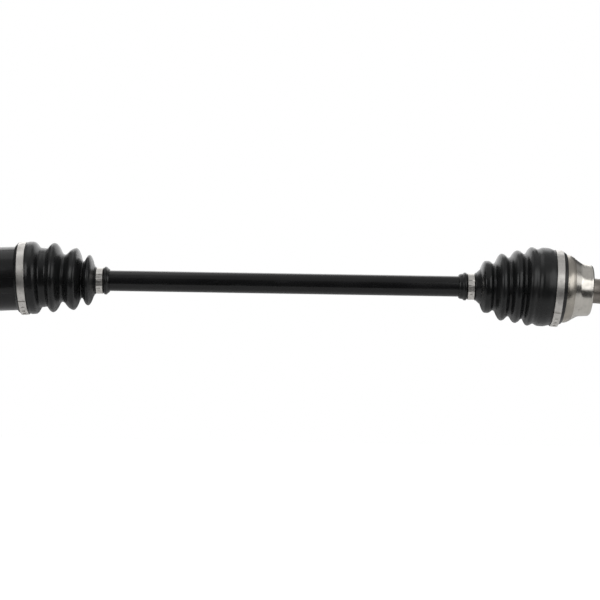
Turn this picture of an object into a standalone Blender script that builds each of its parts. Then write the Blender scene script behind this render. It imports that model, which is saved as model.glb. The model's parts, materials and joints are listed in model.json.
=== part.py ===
"""A car's front drive axle: a ball joint outside, a tripod joint inside and a steel bar between them.

Metres, +Z up. The origin is the middle of the bar, midway between the two joint centres. +X runs along
the bar to the outer (wheel) end. At rest both housings hang a little below the line of the bar.

Each joint's pieces are drawn in a frame of their own: x along that frame's axis from the joint centre,
towards the outer end, and y, z across it. Profiles are lists of (x, radius).
"""

import math

import bmesh
import bpy
from mathutils import Matrix

# Driving dimensions
SPAN = 0.673  # between the two joint centres
BAR_R = 0.0125
OUTER_DROOP = math.radians(3.5)
INNER_DROOP = math.radians(3.0)
GAP = 0.0003  # between pieces that touch
STEPS = 36  # facets around a large turned piece
CLAMP_STEPS = 60
CHAMFER = 0.001  # on small edges
END_CHAMFER = 0.0015  # on the ends of stubs and boots
FILLET = 0.002  # where a stub meets its housing
CENTRE_HOLE_R = 0.003  # the centre drilling in a stub's end
CUT_PAST = 0.002  # how far a cut or a joined shape runs past a face

# Splines
SPLINE_STEP = 0.0006  # from the bar's surface down to its spline's tips
SPLINE_DEPTH = 0.001
SPLINE_ROOT_SHARE = 0.28  # of the pitch, either side of a tooth's middle
SPLINE_TIP_SHARE = 0.2
SPLINE_RUNOUT = 0.0025  # from a spline's end to the next shoulder
CORE_STEP = 0.0004  # the core under a stub's teeth is a little smaller than their roots
BORE_STOCK = 0.002  # a splined hole's blank is smaller than its splines by this
RING_GROOVE_DEPTH = 0.0008  # below a spline's roots
BAR_TEETH = 16
STUB_TEETH = 20
BAR_TAIL = 0.003  # past the rings at the bar's ends, and before its shoulders
BAR_RING_H = 0.0018  # above the splines' tips
RING_OPENING = 0.5  # a ring's opening, as an angle

# Outer joint: balls, inner race and cage
BALL_R = 0.00794
BALL_COUNT = 6
RACE_WALL = 0.0076  # from the splined bore to the bottom of a track
RACE_HALF_W = 0.011
RACE_RING_T = 0.0012
TRACK_GAP = 0.0005  # round a ball, and where one sphere runs in another
TRACK_SIDE_GAP = 0.00175  # a ball also shifts sideways as the joint bends both ways at once
CAGE_HALF_W = 0.012
CAGE_WALL = 0.0056
WINDOW_CORNER = 0.0015
CAGE_OFFSET = 0.00025  # the cage's middle surface lies inside the balls' pitch sphere by this
OUTER_BEND = math.radians(46.0)
BALL_BEND = math.radians(23.3)  # the balls move through half of the bend, and a little sideways

BEND_CLEARANCE = 0.0006  # between a housing's mouth and the bent bar

# Outer joint: bell and stub
BELL_WALL = 0.0047
BELL_MOUTH_X = -0.0145
BELL_LIP = 0.001
BELL_LIP_W = 0.004
BELL_BACK_X = 0.0255
BELL_FACE_X = 0.042
BELL_LAND_R = 0.032
BELL_LAND_W = 0.011
BELL_SHOULDER_X = 0.0105
BELL_LAND_TAPER = 0.001
BELL_CORNER_R = 0.003
STUB_R = 0.015
STUB_SEAT_L = 0.014
STUB_SPLINE_STEP = 0.001  # from the bearing seat down to the spline's tips
STUB_SPLINE_L = 0.045
THREAD_R = 0.0119
THREAD_L = 0.029

# Inner joint: spider and rollers
SPIDER_HALF_W = 0.012
HUB_WALL = 0.0046
TRUNNION_R = 0.0105
ROLLER_R = 0.017
ROLLER_HALF_W = 0.0055
ROLLER_BORE_R = 0.013
ROLLER_HUB_GAP = 0.0007
WASHER_T = 0.0005
CIRCLIP_T = 0.0007
CIRCLIP_H = 0.0018
CIRCLIP_OPENING = 0.6
TRUNNION_TIP = 0.001  # past the circlip's groove
SPIDER_RING_T = 0.0016
NEEDLES = 18
INNER_BEND = math.radians(18.0)
PLUNGE = 0.013

# Inner joint: housing and stub
TULIP_WALL = 0.0048
TULIP_BACK_WALL = 0.0095
ROLLER_SIDE_GAP = 0.0009
ROLLER_TOP_GAP = 0.0011
ROLLER_END_GAP = 0.0013  # between a roller and the cavity's back, or the snap ring, at full plunge and bend
TRACK_FOOT = math.radians(56.365)  # half of a track's angle where it meets the central bore
SNAP_RING_X = 0.0012  # from the mouth's face
SNAP_RING_T = 0.0014
SNAP_RING_H = 0.0037
SNAP_RING_OPENING = 0.35
TULIP_CORNER_R = 0.005
BOSS_R = 0.024
BOSS_L = 0.013
SEAL_R = 0.019
SEAL_L = 0.025
INNER_SPLINE_R = 0.0136
INNER_SPLINE_L = 0.034
STUB_RING_X = 0.006  # the stub's circlip groove, from the stub's end
STUB_RING_T = 0.0016
STUB_RING_H = 0.0022

# Boots and clamps
BOOT_WALL = 0.0021
NECK_WALL = 0.0022
SMALL_BAND_W = 0.008
LARGE_BAND_W = 0.009
BAND_T = 0.0009
BAND_LAP_T = 0.0008
OUTER_CUFF_WALL = 0.0036
OUTER_CUFF_END_X = 0.0085
OUTER_BAND_X = -0.0005
OUTER_NECK_X = -0.104
OUTER_NECK_TAIL = 0.0105  # the neck beyond the clamp
INNER_CUFF_WALL = 0.0038
INNER_CUFF_END_X = 0.0185
INNER_BAND_X = 0.028
INNER_NECK_X = 0.1195
INNER_NECK_TAIL = 0.0075
NECK_LIP = 0.0019
NECK_LIP_W = 0.0045
CUFF_LIP = 0.001
CUFF_EDGE = 0.0013  # the thickness of a cuff's end
MOUTH_EASE = 0.001  # between a housing's mouth and the start of the boot's bellows
FOLD_CLEARANCE = 0.003  # the first inside fold is at least this far from the mouth
# The clamps' overlaps and crimp ridges, in degrees about the axis from +Y towards +Z
LARGE_LAP = (221, 264)
LARGE_RIDGES = (236, 248, 259)
SMALL_LAP = (130, 250)
SMALL_RIDGES = (152, 175, 203, 231)
# Each fold's place along the joint, and how far its radius is from the neck's seat to the cuff's seat
OUTER_FOLDS = (
    (-0.085, 0.548), (-0.077, 0.446), (-0.0665, 0.838), (-0.058, 0.693), (-0.049, 0.957),
    (-0.041, 0.835), (-0.0333, 1.079), (-0.0267, 1.007), (-0.017, 1.079), (-0.0105, 1.079),
)
INNER_FOLDS = (
    (0.036, 1.050), (0.052, 0.751), (0.063, 0.985), (0.074, 0.508),
    (0.0886, 0.814), (0.0975, 0.272), (0.105, 0.565), (0.1125, 0.095),
)

# Derived: the chain of fits from the bar outwards
SPLINE_R = BAR_R - SPLINE_STEP
BALL_PITCH_R = SPLINE_R + GAP + RACE_WALL + TRACK_GAP + BALL_R
CAGE_IN_R = BALL_PITCH_R - CAGE_OFFSET - CAGE_WALL / 2
CAGE_OUT_R = CAGE_IN_R + CAGE_WALL
RACE_R = CAGE_IN_R - TRACK_GAP
BELL_SPHERE_R = CAGE_OUT_R + TRACK_GAP
TRACK_STOP = BALL_BEND + math.asin((BALL_R + TRACK_GAP) / BALL_PITCH_R)  # past the ball's far side
TRACK_OPEN = math.radians(60)  # past the ends of the race, and past the bell's mouth
BELL_SEAT_R = BALL_PITCH_R + BALL_R + TRACK_GAP + BELL_WALL
HUB_R = SPLINE_R + GAP + HUB_WALL
ROLLER_PITCH_R = HUB_R + ROLLER_HUB_GAP + ROLLER_HALF_W
ROLLER_FACE_R = math.sqrt(ROLLER_R**2 - ROLLER_HALF_W**2)
ROLLER_END = ROLLER_PITCH_R + ROLLER_HALF_W
TRACK_TOP_R = math.hypot(ROLLER_END, ROLLER_FACE_R) + ROLLER_TOP_GAP
TULIP_R = TRACK_TOP_R + TULIP_WALL
TULIP_BORE_R = (ROLLER_R + ROLLER_SIDE_GAP) / math.sin(TRACK_FOOT)
ROLLER_SWING = ROLLER_PITCH_R * math.cos(math.radians(30)) * math.sin(INNER_BEND)
ROLLER_REACH = PLUNGE + ROLLER_SWING + ROLLER_R
TULIP_MOUTH_X = ROLLER_REACH + SNAP_RING_X + SNAP_RING_T + ROLLER_END_GAP
TULIP_BACK_X = -ROLLER_REACH - ROLLER_END_GAP
TULIP_END_X = TULIP_BACK_X - TULIP_BACK_WALL
WASHER_X = ROLLER_END + GAP
CIRCLIP_X = WASHER_X + WASHER_T + GAP
TRUNNION_END = CIRCLIP_X + CIRCLIP_T + GAP + TRUNNION_TIP
NECK_SEAT_R = BAR_R + GAP + NECK_WALL
OUTER_CUFF_R = BELL_SEAT_R + GAP + OUTER_CUFF_WALL
INNER_CUFF_R = TULIP_R + GAP + INNER_CUFF_WALL

# Frame matrices: a profile's axis or an outline's normal (local Z) is laid along X
AXIAL = Matrix(((0, 0, 1, 0), (1, 0, 0, 0), (0, 1, 0, 0), (0, 0, 0, 1)))


def new_collection(name):
    collection = bpy.data.collections.new(name)
    bpy.context.scene.collection.children.link(collection)
    return collection


def make_material(name, colour, roughness, metallic):
    material = bpy.data.materials.new(name)
    material.use_nodes = True
    shader = material.node_tree.nodes["Principled BSDF"]
    shader.inputs["Base Color"].default_value = (*colour, 1.0)
    shader.inputs["Roughness"].default_value = roughness
    shader.inputs["Metallic"].default_value = metallic
    material.diffuse_color = (*colour, 1.0)
    return material


def make_frame(name, x, droop=0.0):
    """An empty at x on the bar's axis, turned about Y by the droop."""
    return make_empty(name, Matrix.Translation((x, 0, 0)) @ Matrix.Rotation(droop, 4, "Y"))


def make_empty(name, matrix, parent=None):
    frame = bpy.data.objects.new(name, None)
    frame.empty_display_size = 0.02
    frame.parent = parent
    frame.matrix_local = matrix
    bpy.context.scene.collection.objects.link(frame)
    return frame


def smooth(mesh):
    mesh.shade_smooth()
    mesh.set_sharp_from_angle(angle=math.radians(35))


def finish(obj, material, frame, collection):
    """Puts a piece in its collection and frame. Without a material it is a cutter or a joined shape."""
    collection.objects.link(obj)
    obj.parent = frame
    if material:
        obj.data.materials.append(material)
    else:
        obj.hide_render = True
        obj.display_type = "WIRE"
    return obj


def turned(name, profile, material, frame, collection, closed=False, steps=STEPS):
    """A solid turned about the frame's X axis. The profile follows the inside back from its far end, then
    the outside with x growing. A closed one is a ring: the outside with x growing, then the inside back."""
    mesh = bpy.data.meshes.new(name)
    points = [(r, 0.0, x) for x, r in reversed(profile)]
    edges = [(i, i + 1) for i in range(len(points) - 1)]
    if closed:
        edges.append((len(points) - 1, 0))
    mesh.from_pydata(points, edges, [])
    obj = bpy.data.objects.new(name, mesh)
    screw = obj.modifiers.new("Turn", "SCREW")
    screw.axis = "Z"
    screw.steps = steps
    screw.render_steps = steps
    screw.use_merge_vertices = True
    screw.merge_threshold = 0.00001
    finish(obj, material, frame, collection)
    obj.matrix_local = AXIAL
    return obj


def extruded(name, outlines, x0, x1, material, frame, collection):
    """A solid with the (y, z) outlines as its section, from x0 to x1. A second outline is a hole."""
    curve = bpy.data.curves.new(name, "CURVE")
    curve.dimensions = "2D"
    curve.fill_mode = "BOTH"
    curve.extrude = (x1 - x0) / 2
    for outline in outlines:
        spline = curve.splines.new("POLY")
        spline.points.add(len(outline) - 1)
        for point, (y, z) in zip(spline.points, outline):
            point.co = (y, z, 0.0, 1.0)
        spline.use_cyclic_u = True
    flat = bpy.data.objects.new(name + "_outline", curve)
    bpy.context.scene.collection.objects.link(flat)
    mesh = mesh_from(flat)
    mesh.transform(AXIAL @ Matrix.Translation((0, 0, (x0 + x1) / 2)))
    mesh.name = name
    smooth(mesh)
    return finish(bpy.data.objects.new(name, mesh), material, frame, collection)


def mesh_from(obj):
    """The object's evaluated mesh with its loose caps welded. The object is removed."""
    bpy.context.view_layer.update()
    graph = bpy.context.evaluated_depsgraph_get()
    mesh = bpy.data.meshes.new_from_object(obj.evaluated_get(graph))
    bm = bmesh.new()
    bm.from_mesh(mesh)
    bmesh.ops.remove_doubles(bm, verts=bm.verts, dist=0.000001)
    bm.to_mesh(mesh)
    bm.free()
    bpy.data.objects.remove(obj)
    return mesh


def boolean(obj, tool, operation):
    modifier = obj.modifiers.new(tool.name, "BOOLEAN")
    modifier.operation = operation
    modifier.solver = "EXACT"
    modifier.object = tool


def arc(radius, start, end, count, x=0.0, y=0.0):
    """Points (x, y) on a circle, by angle from the x axis."""
    angles = [start + (end - start) * i / (count - 1) for i in range(count)]
    return [(x + radius * math.cos(a), y + radius * math.sin(a)) for a in angles]


def circle(radius, count=STEPS):
    return arc(radius, 0.0, 2 * math.pi * (count - 1) / count, count)


def polar(radius, angle):
    return (radius * math.cos(angle), radius * math.sin(angle))


def spline_outline(teeth, tip_r, gap=0.0):
    """The section of a splined shaft, or with a gap, of the splined hole that it fits."""
    pitch = 2 * math.pi / teeth
    root_r = tip_r - SPLINE_DEPTH + gap
    points = []
    for tooth in range(teeth):
        middle = tooth * pitch
        root = SPLINE_ROOT_SHARE * pitch + gap / root_r
        tip = SPLINE_TIP_SHARE * pitch + gap / tip_r
        points.append(polar(root_r, middle - root))
        points.append(polar(tip_r + gap, middle - tip))
        points.append(polar(tip_r + gap, middle + tip))
        points.append(polar(root_r, middle + root))
    return points


def snap_ring(name, in_r, out_r, x0, x1, opening, at, material, frame, collection, steps=28):
    """A flat ring that is open by an angle, with its opening centred at an angle from +Y."""
    start = at + opening / 2
    end = at - opening / 2 + 2 * math.pi
    outline = arc(out_r, start, end, steps) + arc(in_r, end, start, steps)
    return extruded(name, [outline], x0, x1, material, frame, collection)


def band_clamp(name, seat_r, x, width, lap, ridges, material, frame, collection):
    """A steel band whose ends overlap between two angles, with raised crimp ridges on the overlap."""
    in_r = seat_r + GAP
    facet = 360 / CLAMP_STEPS
    outline = []
    for i in range(CLAMP_STEPS):
        out_r = in_r + BAND_T
        if round(lap[0] / facet) <= i <= round(lap[1] / facet):
            out_r += BAND_LAP_T
        if i in [round(ridge / facet) for ridge in ridges]:
            out_r += BAND_LAP_T
        outline.append(polar(out_r, math.radians(i * facet)))
    sides = (x - width / 2, x + width / 2)
    return extruded(name, [outline, circle(in_r)], *sides, material, frame, collection)


# ---------------------------------------------------------------- outer joint


def track_cutter(name, azimuth, start, end, frame, cutters):
    """The space that a ball sweeps round the joint centre: a slot section swept from one angle to another."""
    radius = BALL_R + TRACK_GAP
    half = arc(radius, -math.pi / 2, math.pi / 2, 7)
    section = [(BALL_PITCH_R + u, v + TRACK_SIDE_GAP) for v, u in half]
    section += [(BALL_PITCH_R - u, -v - TRACK_SIDE_GAP) for v, u in half]
    bm = bmesh.new()
    turn = Matrix.Rotation(math.pi / 2 - start, 4, "Z")
    verts = [bm.verts.new(turn @ Matrix.Translation((r, 0, z)).translation) for r, z in section]
    edges = [bm.edges.new((verts[i - 1], verts[i])) for i in range(len(verts))]
    bmesh.ops.spin(
        bm, geom=verts + edges, cent=(0, 0, 0), axis=(0, 0, 1), angle=start - end,
        steps=round(abs(math.degrees(end - start)) / 11),
    )
    bmesh.ops.holes_fill(bm, edges=[e for e in bm.edges if e.is_boundary])
    bmesh.ops.recalc_face_normals(bm, faces=bm.faces)
    mesh = bpy.data.meshes.new(name)
    bm.to_mesh(mesh)
    bm.free()
    mesh.transform(Matrix.Rotation(azimuth, 4, "X"))
    return finish(bpy.data.objects.new(name, mesh), None, frame, cutters)


def ball_azimuths():
    return [math.pi / 2 + 2 * math.pi * i / BALL_COUNT for i in range(BALL_COUNT)]


def sphere_profile(radius, x0, x1, count):
    """Profile points (x, radius) along a sphere about the joint centre, from x0 to x1."""
    start = math.acos(x0 / radius)
    end = math.acos(x1 / radius)
    return arc(radius, start, end, count)


def make_balls(steel, frame, parts):
    for number, azimuth in enumerate(ball_azimuths(), start=1):
        mesh = bpy.data.meshes.new(f"ball_{number}")
        bm = bmesh.new()
        bmesh.ops.create_uvsphere(bm, u_segments=12, v_segments=8, radius=BALL_R)
        bm.to_mesh(mesh)
        bm.free()
        mesh.shade_smooth()
        ball = finish(bpy.data.objects.new(f"ball_{number}", mesh), steel, frame, parts)
        ball.location = (0.0, *polar(BALL_PITCH_R, azimuth))


def make_cage(steel, frame, parts, cutters):
    profile = sphere_profile(CAGE_OUT_R, -CAGE_HALF_W, CAGE_HALF_W, 5)
    profile += sphere_profile(CAGE_IN_R, CAGE_HALF_W, -CAGE_HALF_W, 5)
    cage = turned("ball_cage", profile, steel, frame, parts, closed=True, steps=32)
    half = BALL_R + GAP
    depth = 2 * BALL_R
    for number, azimuth in enumerate(ball_azimuths(), start=1):
        bm = bmesh.new()
        bmesh.ops.create_cube(bm, size=1.0)
        mesh = bpy.data.meshes.new(f"window_{number}")
        bm.to_mesh(mesh)
        bm.free()
        mesh.transform(Matrix.Diagonal((2 * half, depth, 2 * half, 1.0)))
        window = finish(bpy.data.objects.new(f"window_{number}", mesh), None, frame, cutters)
        window.matrix_local = Matrix.Rotation(azimuth, 4, "X") @ Matrix.Translation((0, BALL_PITCH_R, 0))
        rounding = window.modifiers.new("Round", "BEVEL")
        rounding.width = WINDOW_CORNER
        rounding.segments = 1
        boolean(cage, window, "DIFFERENCE")


def make_inner_race(steel, frame, parts, cutters):
    profile = sphere_profile(RACE_R, -RACE_HALF_W, RACE_HALF_W, 5)
    bore_r = SPLINE_R - SPLINE_DEPTH - BORE_STOCK
    profile += [(RACE_HALF_W, bore_r), (-RACE_HALF_W, bore_r)]
    race = turned("outer_inner_race", profile, steel, frame, parts, closed=True, steps=30)
    bore = [spline_outline(BAR_TEETH, SPLINE_R, GAP)]
    ends = (-2 * RACE_HALF_W, 2 * RACE_HALF_W)
    boolean(race, extruded("race_bore", bore, *ends, None, frame, cutters), "DIFFERENCE")
    for number, azimuth in enumerate(ball_azimuths(), start=1):
        cutter = track_cutter(f"race_track_{number}", azimuth, -TRACK_OPEN, TRACK_OPEN, frame, cutters)
        boolean(race, cutter, "DIFFERENCE")


def mouth_chamfer():
    """How far from the joint centre, and at what radius, the bell's mouth starts to clear the bent bar."""
    slope = math.tan(OUTER_BEND)
    start = (BAR_R + BEND_CLEARANCE) / math.cos(OUTER_BEND)
    a = 1 + slope**2
    b = 2 * start * slope
    c = start**2 - BELL_SPHERE_R**2
    x = (-b + math.sqrt(b * b - 4 * a * c)) / (2 * a)
    return x, start + slope * x, start - slope * BELL_MOUTH_X


def bell_shoulder(x0, x1, count):
    """The bell's shoulder: a smooth ramp from its boot seat down to the land behind it."""
    points = []
    for i in range(count):
        t = i / (count - 1)
        drop = (1 + math.cos(math.pi * t)) / 2
        points.append((x0 + (x1 - x0) * t, BELL_LAND_R + (BELL_SEAT_R - BELL_LAND_R) * drop))
    return points


def make_outer_housing(steel, frame, parts, cutters):
    edge_x, edge_r, mouth_r = mouth_chamfer()
    land_x = BELL_FACE_X - BELL_LAND_W
    spline_x = BELL_FACE_X + STUB_SEAT_L
    thread_x = spline_x + STUB_SPLINE_L
    end_x = thread_x + THREAD_L
    spline_r = STUB_R - STUB_SPLINE_STEP
    core_r = spline_r - SPLINE_DEPTH - CORE_STEP
    corner_x = BELL_FACE_X - BELL_CORNER_R
    corner_r = BELL_LAND_R - BELL_LAND_TAPER - BELL_CORNER_R
    lip_end = BELL_MOUTH_X + BELL_LIP_W
    profile = [(BELL_BACK_X, 0.0)]
    profile += sphere_profile(BELL_SPHERE_R, BELL_BACK_X, -edge_x, 7)
    profile += [(BELL_MOUTH_X, mouth_r), (BELL_MOUTH_X, BELL_SEAT_R + BELL_LIP / 2)]
    profile += [(BELL_MOUTH_X + BELL_LIP / 2, BELL_SEAT_R + BELL_LIP), (lip_end, BELL_SEAT_R + BELL_LIP)]
    profile += [(lip_end + BELL_LIP / 2, BELL_SEAT_R)]
    profile += bell_shoulder(BELL_SHOULDER_X, land_x, 6)
    profile += arc(BELL_CORNER_R, math.pi / 2, 0.0, 4, corner_x, corner_r)
    profile += arc(FILLET, math.pi, 1.5 * math.pi, 3, BELL_FACE_X + FILLET, STUB_R + FILLET)
    profile += [(spline_x, STUB_R), (spline_x + CHAMFER, core_r)]
    profile += [(thread_x, core_r), (thread_x + CHAMFER, THREAD_R)]
    profile += [(end_x - END_CHAMFER, THREAD_R), (end_x, THREAD_R - END_CHAMFER)]
    profile += [(end_x, CENTRE_HOLE_R), (end_x - CENTRE_HOLE_R, 0.0)]
    bell = turned("outer_housing", profile, steel, frame, parts)
    teeth = [spline_outline(STUB_TEETH, spline_r)]
    tooth_ends = (spline_x - CUT_PAST, thread_x - SPLINE_RUNOUT)
    boolean(bell, extruded("stub_spline", teeth, *tooth_ends, None, frame, cutters), "UNION")
    for number, azimuth in enumerate(ball_azimuths(), start=1):
        cutter = track_cutter(f"bell_track_{number}", azimuth, -TRACK_OPEN, TRACK_STOP, frame, cutters)
        boolean(bell, cutter, "DIFFERENCE")


def neck_profile(x_end, x_seat, direction):
    """The boot's small end on the bar: a lip, then the clamp's seat. Direction is +1 towards the cuff."""
    half = SMALL_BAND_W / 2 + GAP
    return [
        (x_end, BAR_R + GAP),
        (x_end + END_CHAMFER * direction, NECK_SEAT_R),
        (x_seat - (half + NECK_LIP_W) * direction, NECK_SEAT_R + NECK_LIP),
        (x_seat - (half + CHAMFER) * direction, NECK_SEAT_R + NECK_LIP),
        (x_seat - half * direction, NECK_SEAT_R),
        (x_seat + half * direction, NECK_SEAT_R),
        (x_seat + (half + CHAMFER) * direction, NECK_SEAT_R + NECK_LIP),
    ]


def fold_points(folds, cuff_r):
    return [(x, NECK_SEAT_R + share * (cuff_r - NECK_SEAT_R)) for x, share in folds]


def droop_boot(boot, angle, neck_x, cuff_x):
    """Bends a boot's mesh with its housing: not at all at the neck, and by the whole droop at the cuff."""
    for vertex in boot.data.vertices:
        t = (vertex.co.x - neck_x) / (cuff_x - neck_x)
        t = min(1.0, max(0.0, t))
        share = t * t * (3 - 2 * t)
        vertex.co = Matrix.Rotation(angle * share, 3, "Y") @ vertex.co


def make_boot(name, outside, inside, material, frame, parts):
    """A bellows turned from its outside and inside, then made a plain mesh so that it can be bent."""
    blank = turned(name + "_blank", outside + inside, None, None, parts, closed=True, steps=30)
    mesh = mesh_from(blank)
    mesh.transform(AXIAL)
    mesh.name = name
    smooth(mesh)
    return finish(bpy.data.objects.new(name, mesh), material, frame, parts)


def make_outer_boot(rubber, frame, parts):
    neck_end = OUTER_NECK_X - SMALL_BAND_W / 2 - OUTER_NECK_TAIL
    neck = neck_profile(neck_end, OUTER_NECK_X, 1)
    folds = fold_points(OUTER_FOLDS, OUTER_CUFF_R)
    half = LARGE_BAND_W / 2 + GAP
    seat_r = BELL_SEAT_R + GAP
    lip_r = seat_r + BELL_LIP
    cuff = [
        (OUTER_BAND_X - half - CUFF_LIP, OUTER_CUFF_R + CUFF_LIP),
        (OUTER_BAND_X - half, OUTER_CUFF_R),
        (OUTER_BAND_X + half, OUTER_CUFF_R),
        (OUTER_CUFF_END_X, seat_r + CUFF_EDGE),
    ]
    inside = [
        (OUTER_CUFF_END_X, seat_r),
        (BELL_MOUTH_X + BELL_LIP_W + BELL_LIP, seat_r),
        (BELL_MOUTH_X + BELL_LIP_W + GAP, lip_r),
        (BELL_MOUTH_X - MOUTH_EASE, lip_r),
    ]
    inside += [(x, r - BOOT_WALL) for x, r in reversed(folds) if x < BELL_MOUTH_X - FOLD_CLEARANCE]
    inside += [(neck[-1][0], BAR_R + GAP)]
    boot = make_boot("outer_boot", neck + folds + cuff, inside, rubber, frame, parts)
    droop_boot(boot, OUTER_DROOP, OUTER_NECK_X + SMALL_BAND_W, BELL_MOUTH_X - MOUTH_EASE)


def make_inner_boot(rubber, frame, parts):
    neck_end = INNER_NECK_X + SMALL_BAND_W / 2 + INNER_NECK_TAIL
    neck = neck_profile(neck_end, INNER_NECK_X, -1)
    folds = fold_points(INNER_FOLDS, INNER_CUFF_R)
    half = LARGE_BAND_W / 2 + GAP
    seat_r = TULIP_R + GAP
    cuff = [
        (INNER_CUFF_END_X, seat_r + CUFF_EDGE),
        (INNER_BAND_X - half - CUFF_LIP, INNER_CUFF_R + CUFF_LIP / 2),
        (INNER_BAND_X - half, INNER_CUFF_R),
        (INNER_BAND_X + half, INNER_CUFF_R),
        (INNER_BAND_X + half + CUFF_LIP, INNER_CUFF_R + CUFF_LIP),
    ]
    inside = [(neck[-1][0], BAR_R + GAP)]
    inside += [(x, r - BOOT_WALL) for x, r in reversed(folds) if x > TULIP_MOUTH_X + FOLD_CLEARANCE]
    inside += [(TULIP_MOUTH_X + MOUTH_EASE, seat_r), (INNER_CUFF_END_X, seat_r)]
    boot = make_boot("inner_boot", cuff + folds + neck[::-1], inside, rubber, frame, parts)
    droop_boot(boot, -INNER_DROOP, INNER_NECK_X - SMALL_BAND_W, TULIP_MOUTH_X + MOUTH_EASE)


# ---------------------------------------------------------------- inner joint


def trunnion_turn(number):
    """The trunnions' angles about the bar: the first is on the bend's axis, the others either side."""
    return 2 * math.pi * (number - 1) / 3


def tulip_cavity():
    """The section of the tulip's cavity: three flat-sided roller tracks round a central bore."""
    half = ROLLER_R + ROLLER_SIDE_GAP
    top = math.asin(half / TRACK_TOP_R)
    points = []
    for number in (1, 2, 3):
        middle = trunnion_turn(number)
        points.append(polar(TULIP_BORE_R, middle - TRACK_FOOT))
        points += arc(TRACK_TOP_R, middle - top, middle + top, 9)
        points.append(polar(TULIP_BORE_R, middle + TRACK_FOOT))
    return points


def make_inner_housing(black, frame, parts, cutters):
    boss_x = TULIP_END_X - BOSS_L
    seal_x = boss_x - SEAL_L
    end_x = seal_x - INNER_SPLINE_L
    root_r = INNER_SPLINE_R - SPLINE_DEPTH
    clip_x = end_x + STUB_RING_X
    clip_end = clip_x + STUB_RING_T + 2 * GAP
    clip_r = root_r - RING_GROOVE_DEPTH
    corner_x = TULIP_END_X + TULIP_CORNER_R
    profile = [(end_x + CENTRE_HOLE_R, 0.0), (end_x, CENTRE_HOLE_R)]
    profile += [(end_x, root_r - END_CHAMFER), (end_x + END_CHAMFER, root_r)]
    profile += [(clip_x, root_r), (clip_x, clip_r), (seal_x, clip_r)]
    profile += [(seal_x, SEAL_R - CHAMFER), (seal_x + CHAMFER, SEAL_R), (boss_x, SEAL_R)]
    profile += [(boss_x, BOSS_R - CHAMFER), (boss_x + CHAMFER, BOSS_R)]
    profile += arc(FILLET, 1.5 * math.pi, 2 * math.pi, 3, TULIP_END_X - FILLET, BOSS_R + FILLET)
    profile += arc(TULIP_CORNER_R, math.pi, math.pi / 2, 4, corner_x, TULIP_R - TULIP_CORNER_R)
    profile += [(TULIP_MOUTH_X - CHAMFER, TULIP_R), (TULIP_MOUTH_X, TULIP_R - CHAMFER), (TULIP_MOUTH_X, 0.0)]
    housing = turned("inner_housing", profile, black, frame, parts)
    teeth = [spline_outline(STUB_TEETH, INNER_SPLINE_R)]
    tooth_ends = (clip_end + GAP, seal_x + CUT_PAST)
    boolean(housing, extruded("inner_stub_spline", teeth, *tooth_ends, None, frame, cutters), "UNION")
    cavity_ends = (TULIP_BACK_X, TULIP_MOUTH_X + CUT_PAST)
    cavity = extruded("tulip_cavity", [tulip_cavity()], *cavity_ends, None, frame, cutters)
    boolean(housing, cavity, "DIFFERENCE")
    slope = math.tan(INNER_BEND)
    mouth_r = (BAR_R + BEND_CLEARANCE) / math.cos(INNER_BEND) + slope * (TULIP_MOUTH_X + PLUNGE)
    depth = (mouth_r - TULIP_BORE_R) / slope
    start = TULIP_MOUTH_X - depth
    ring_x = TULIP_MOUTH_X - SNAP_RING_X - SNAP_RING_T
    ring_in = mouth_r - slope * SNAP_RING_X
    ring_out = ring_in + SNAP_RING_H
    slot_x = ring_x - GAP
    slot_end = TULIP_MOUTH_X - SNAP_RING_X + GAP
    flare = [(start, 0.0), (start, TULIP_BORE_R)]
    flare += [(slot_x, TULIP_BORE_R + slope * (slot_x - start)), (slot_x, ring_out + GAP)]
    flare += [(slot_end, ring_out + GAP), (slot_end, TULIP_BORE_R + slope * (slot_end - start))]
    flare += [(TULIP_MOUTH_X + CUT_PAST, mouth_r + CUT_PAST * slope), (TULIP_MOUTH_X + CUT_PAST, 0.0)]
    boolean(housing, turned("mouth_flare", flare, None, frame, cutters), "DIFFERENCE")
    return clip_x + GAP, clip_r + GAP, ring_x, ring_in, ring_out


def make_spider(steel, frame, parts, cutters):
    bore_r = SPLINE_R - SPLINE_DEPTH - BORE_STOCK
    profile = [(-SPIDER_HALF_W, HUB_R - CHAMFER), (-SPIDER_HALF_W + CHAMFER, HUB_R)]
    profile += [(SPIDER_HALF_W - CHAMFER, HUB_R), (SPIDER_HALF_W, HUB_R - CHAMFER)]
    profile += [(SPIDER_HALF_W, bore_r), (-SPIDER_HALF_W, bore_r)]
    spider = turned("tripod_spider", profile, steel, frame, parts, closed=True, steps=36)
    groove_r = TRUNNION_R - CIRCLIP_H / 2
    for number in (1, 2, 3):
        across = Matrix.Rotation(trunnion_turn(number), 4, "X") @ Matrix.Rotation(math.pi / 2, 4, "Z")
        leg_frame = make_empty(f"trunnion_frame_{number}", across, frame)
        leg = [
            (SPLINE_R, 0.0), (SPLINE_R, TRUNNION_R), (CIRCLIP_X - GAP, TRUNNION_R),
            (CIRCLIP_X - GAP, groove_r),
            (CIRCLIP_X + CIRCLIP_T + GAP, groove_r), (CIRCLIP_X + CIRCLIP_T + GAP, TRUNNION_R),
            (TRUNNION_END - TRUNNION_TIP / 2, TRUNNION_R), (TRUNNION_END, TRUNNION_R - TRUNNION_TIP / 2),
            (TRUNNION_END, 0.0),
        ]
        boolean(spider, turned(f"trunnion_{number}", leg, None, leg_frame, cutters, steps=24), "UNION")
        make_roller_set(number, steel, leg_frame, parts)
    bore = [spline_outline(BAR_TEETH, SPLINE_R, GAP)]
    ends = (-2 * SPIDER_HALF_W, 2 * SPIDER_HALF_W)
    boolean(spider, extruded("spider_bore", bore, *ends, None, frame, cutters), "DIFFERENCE")


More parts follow.
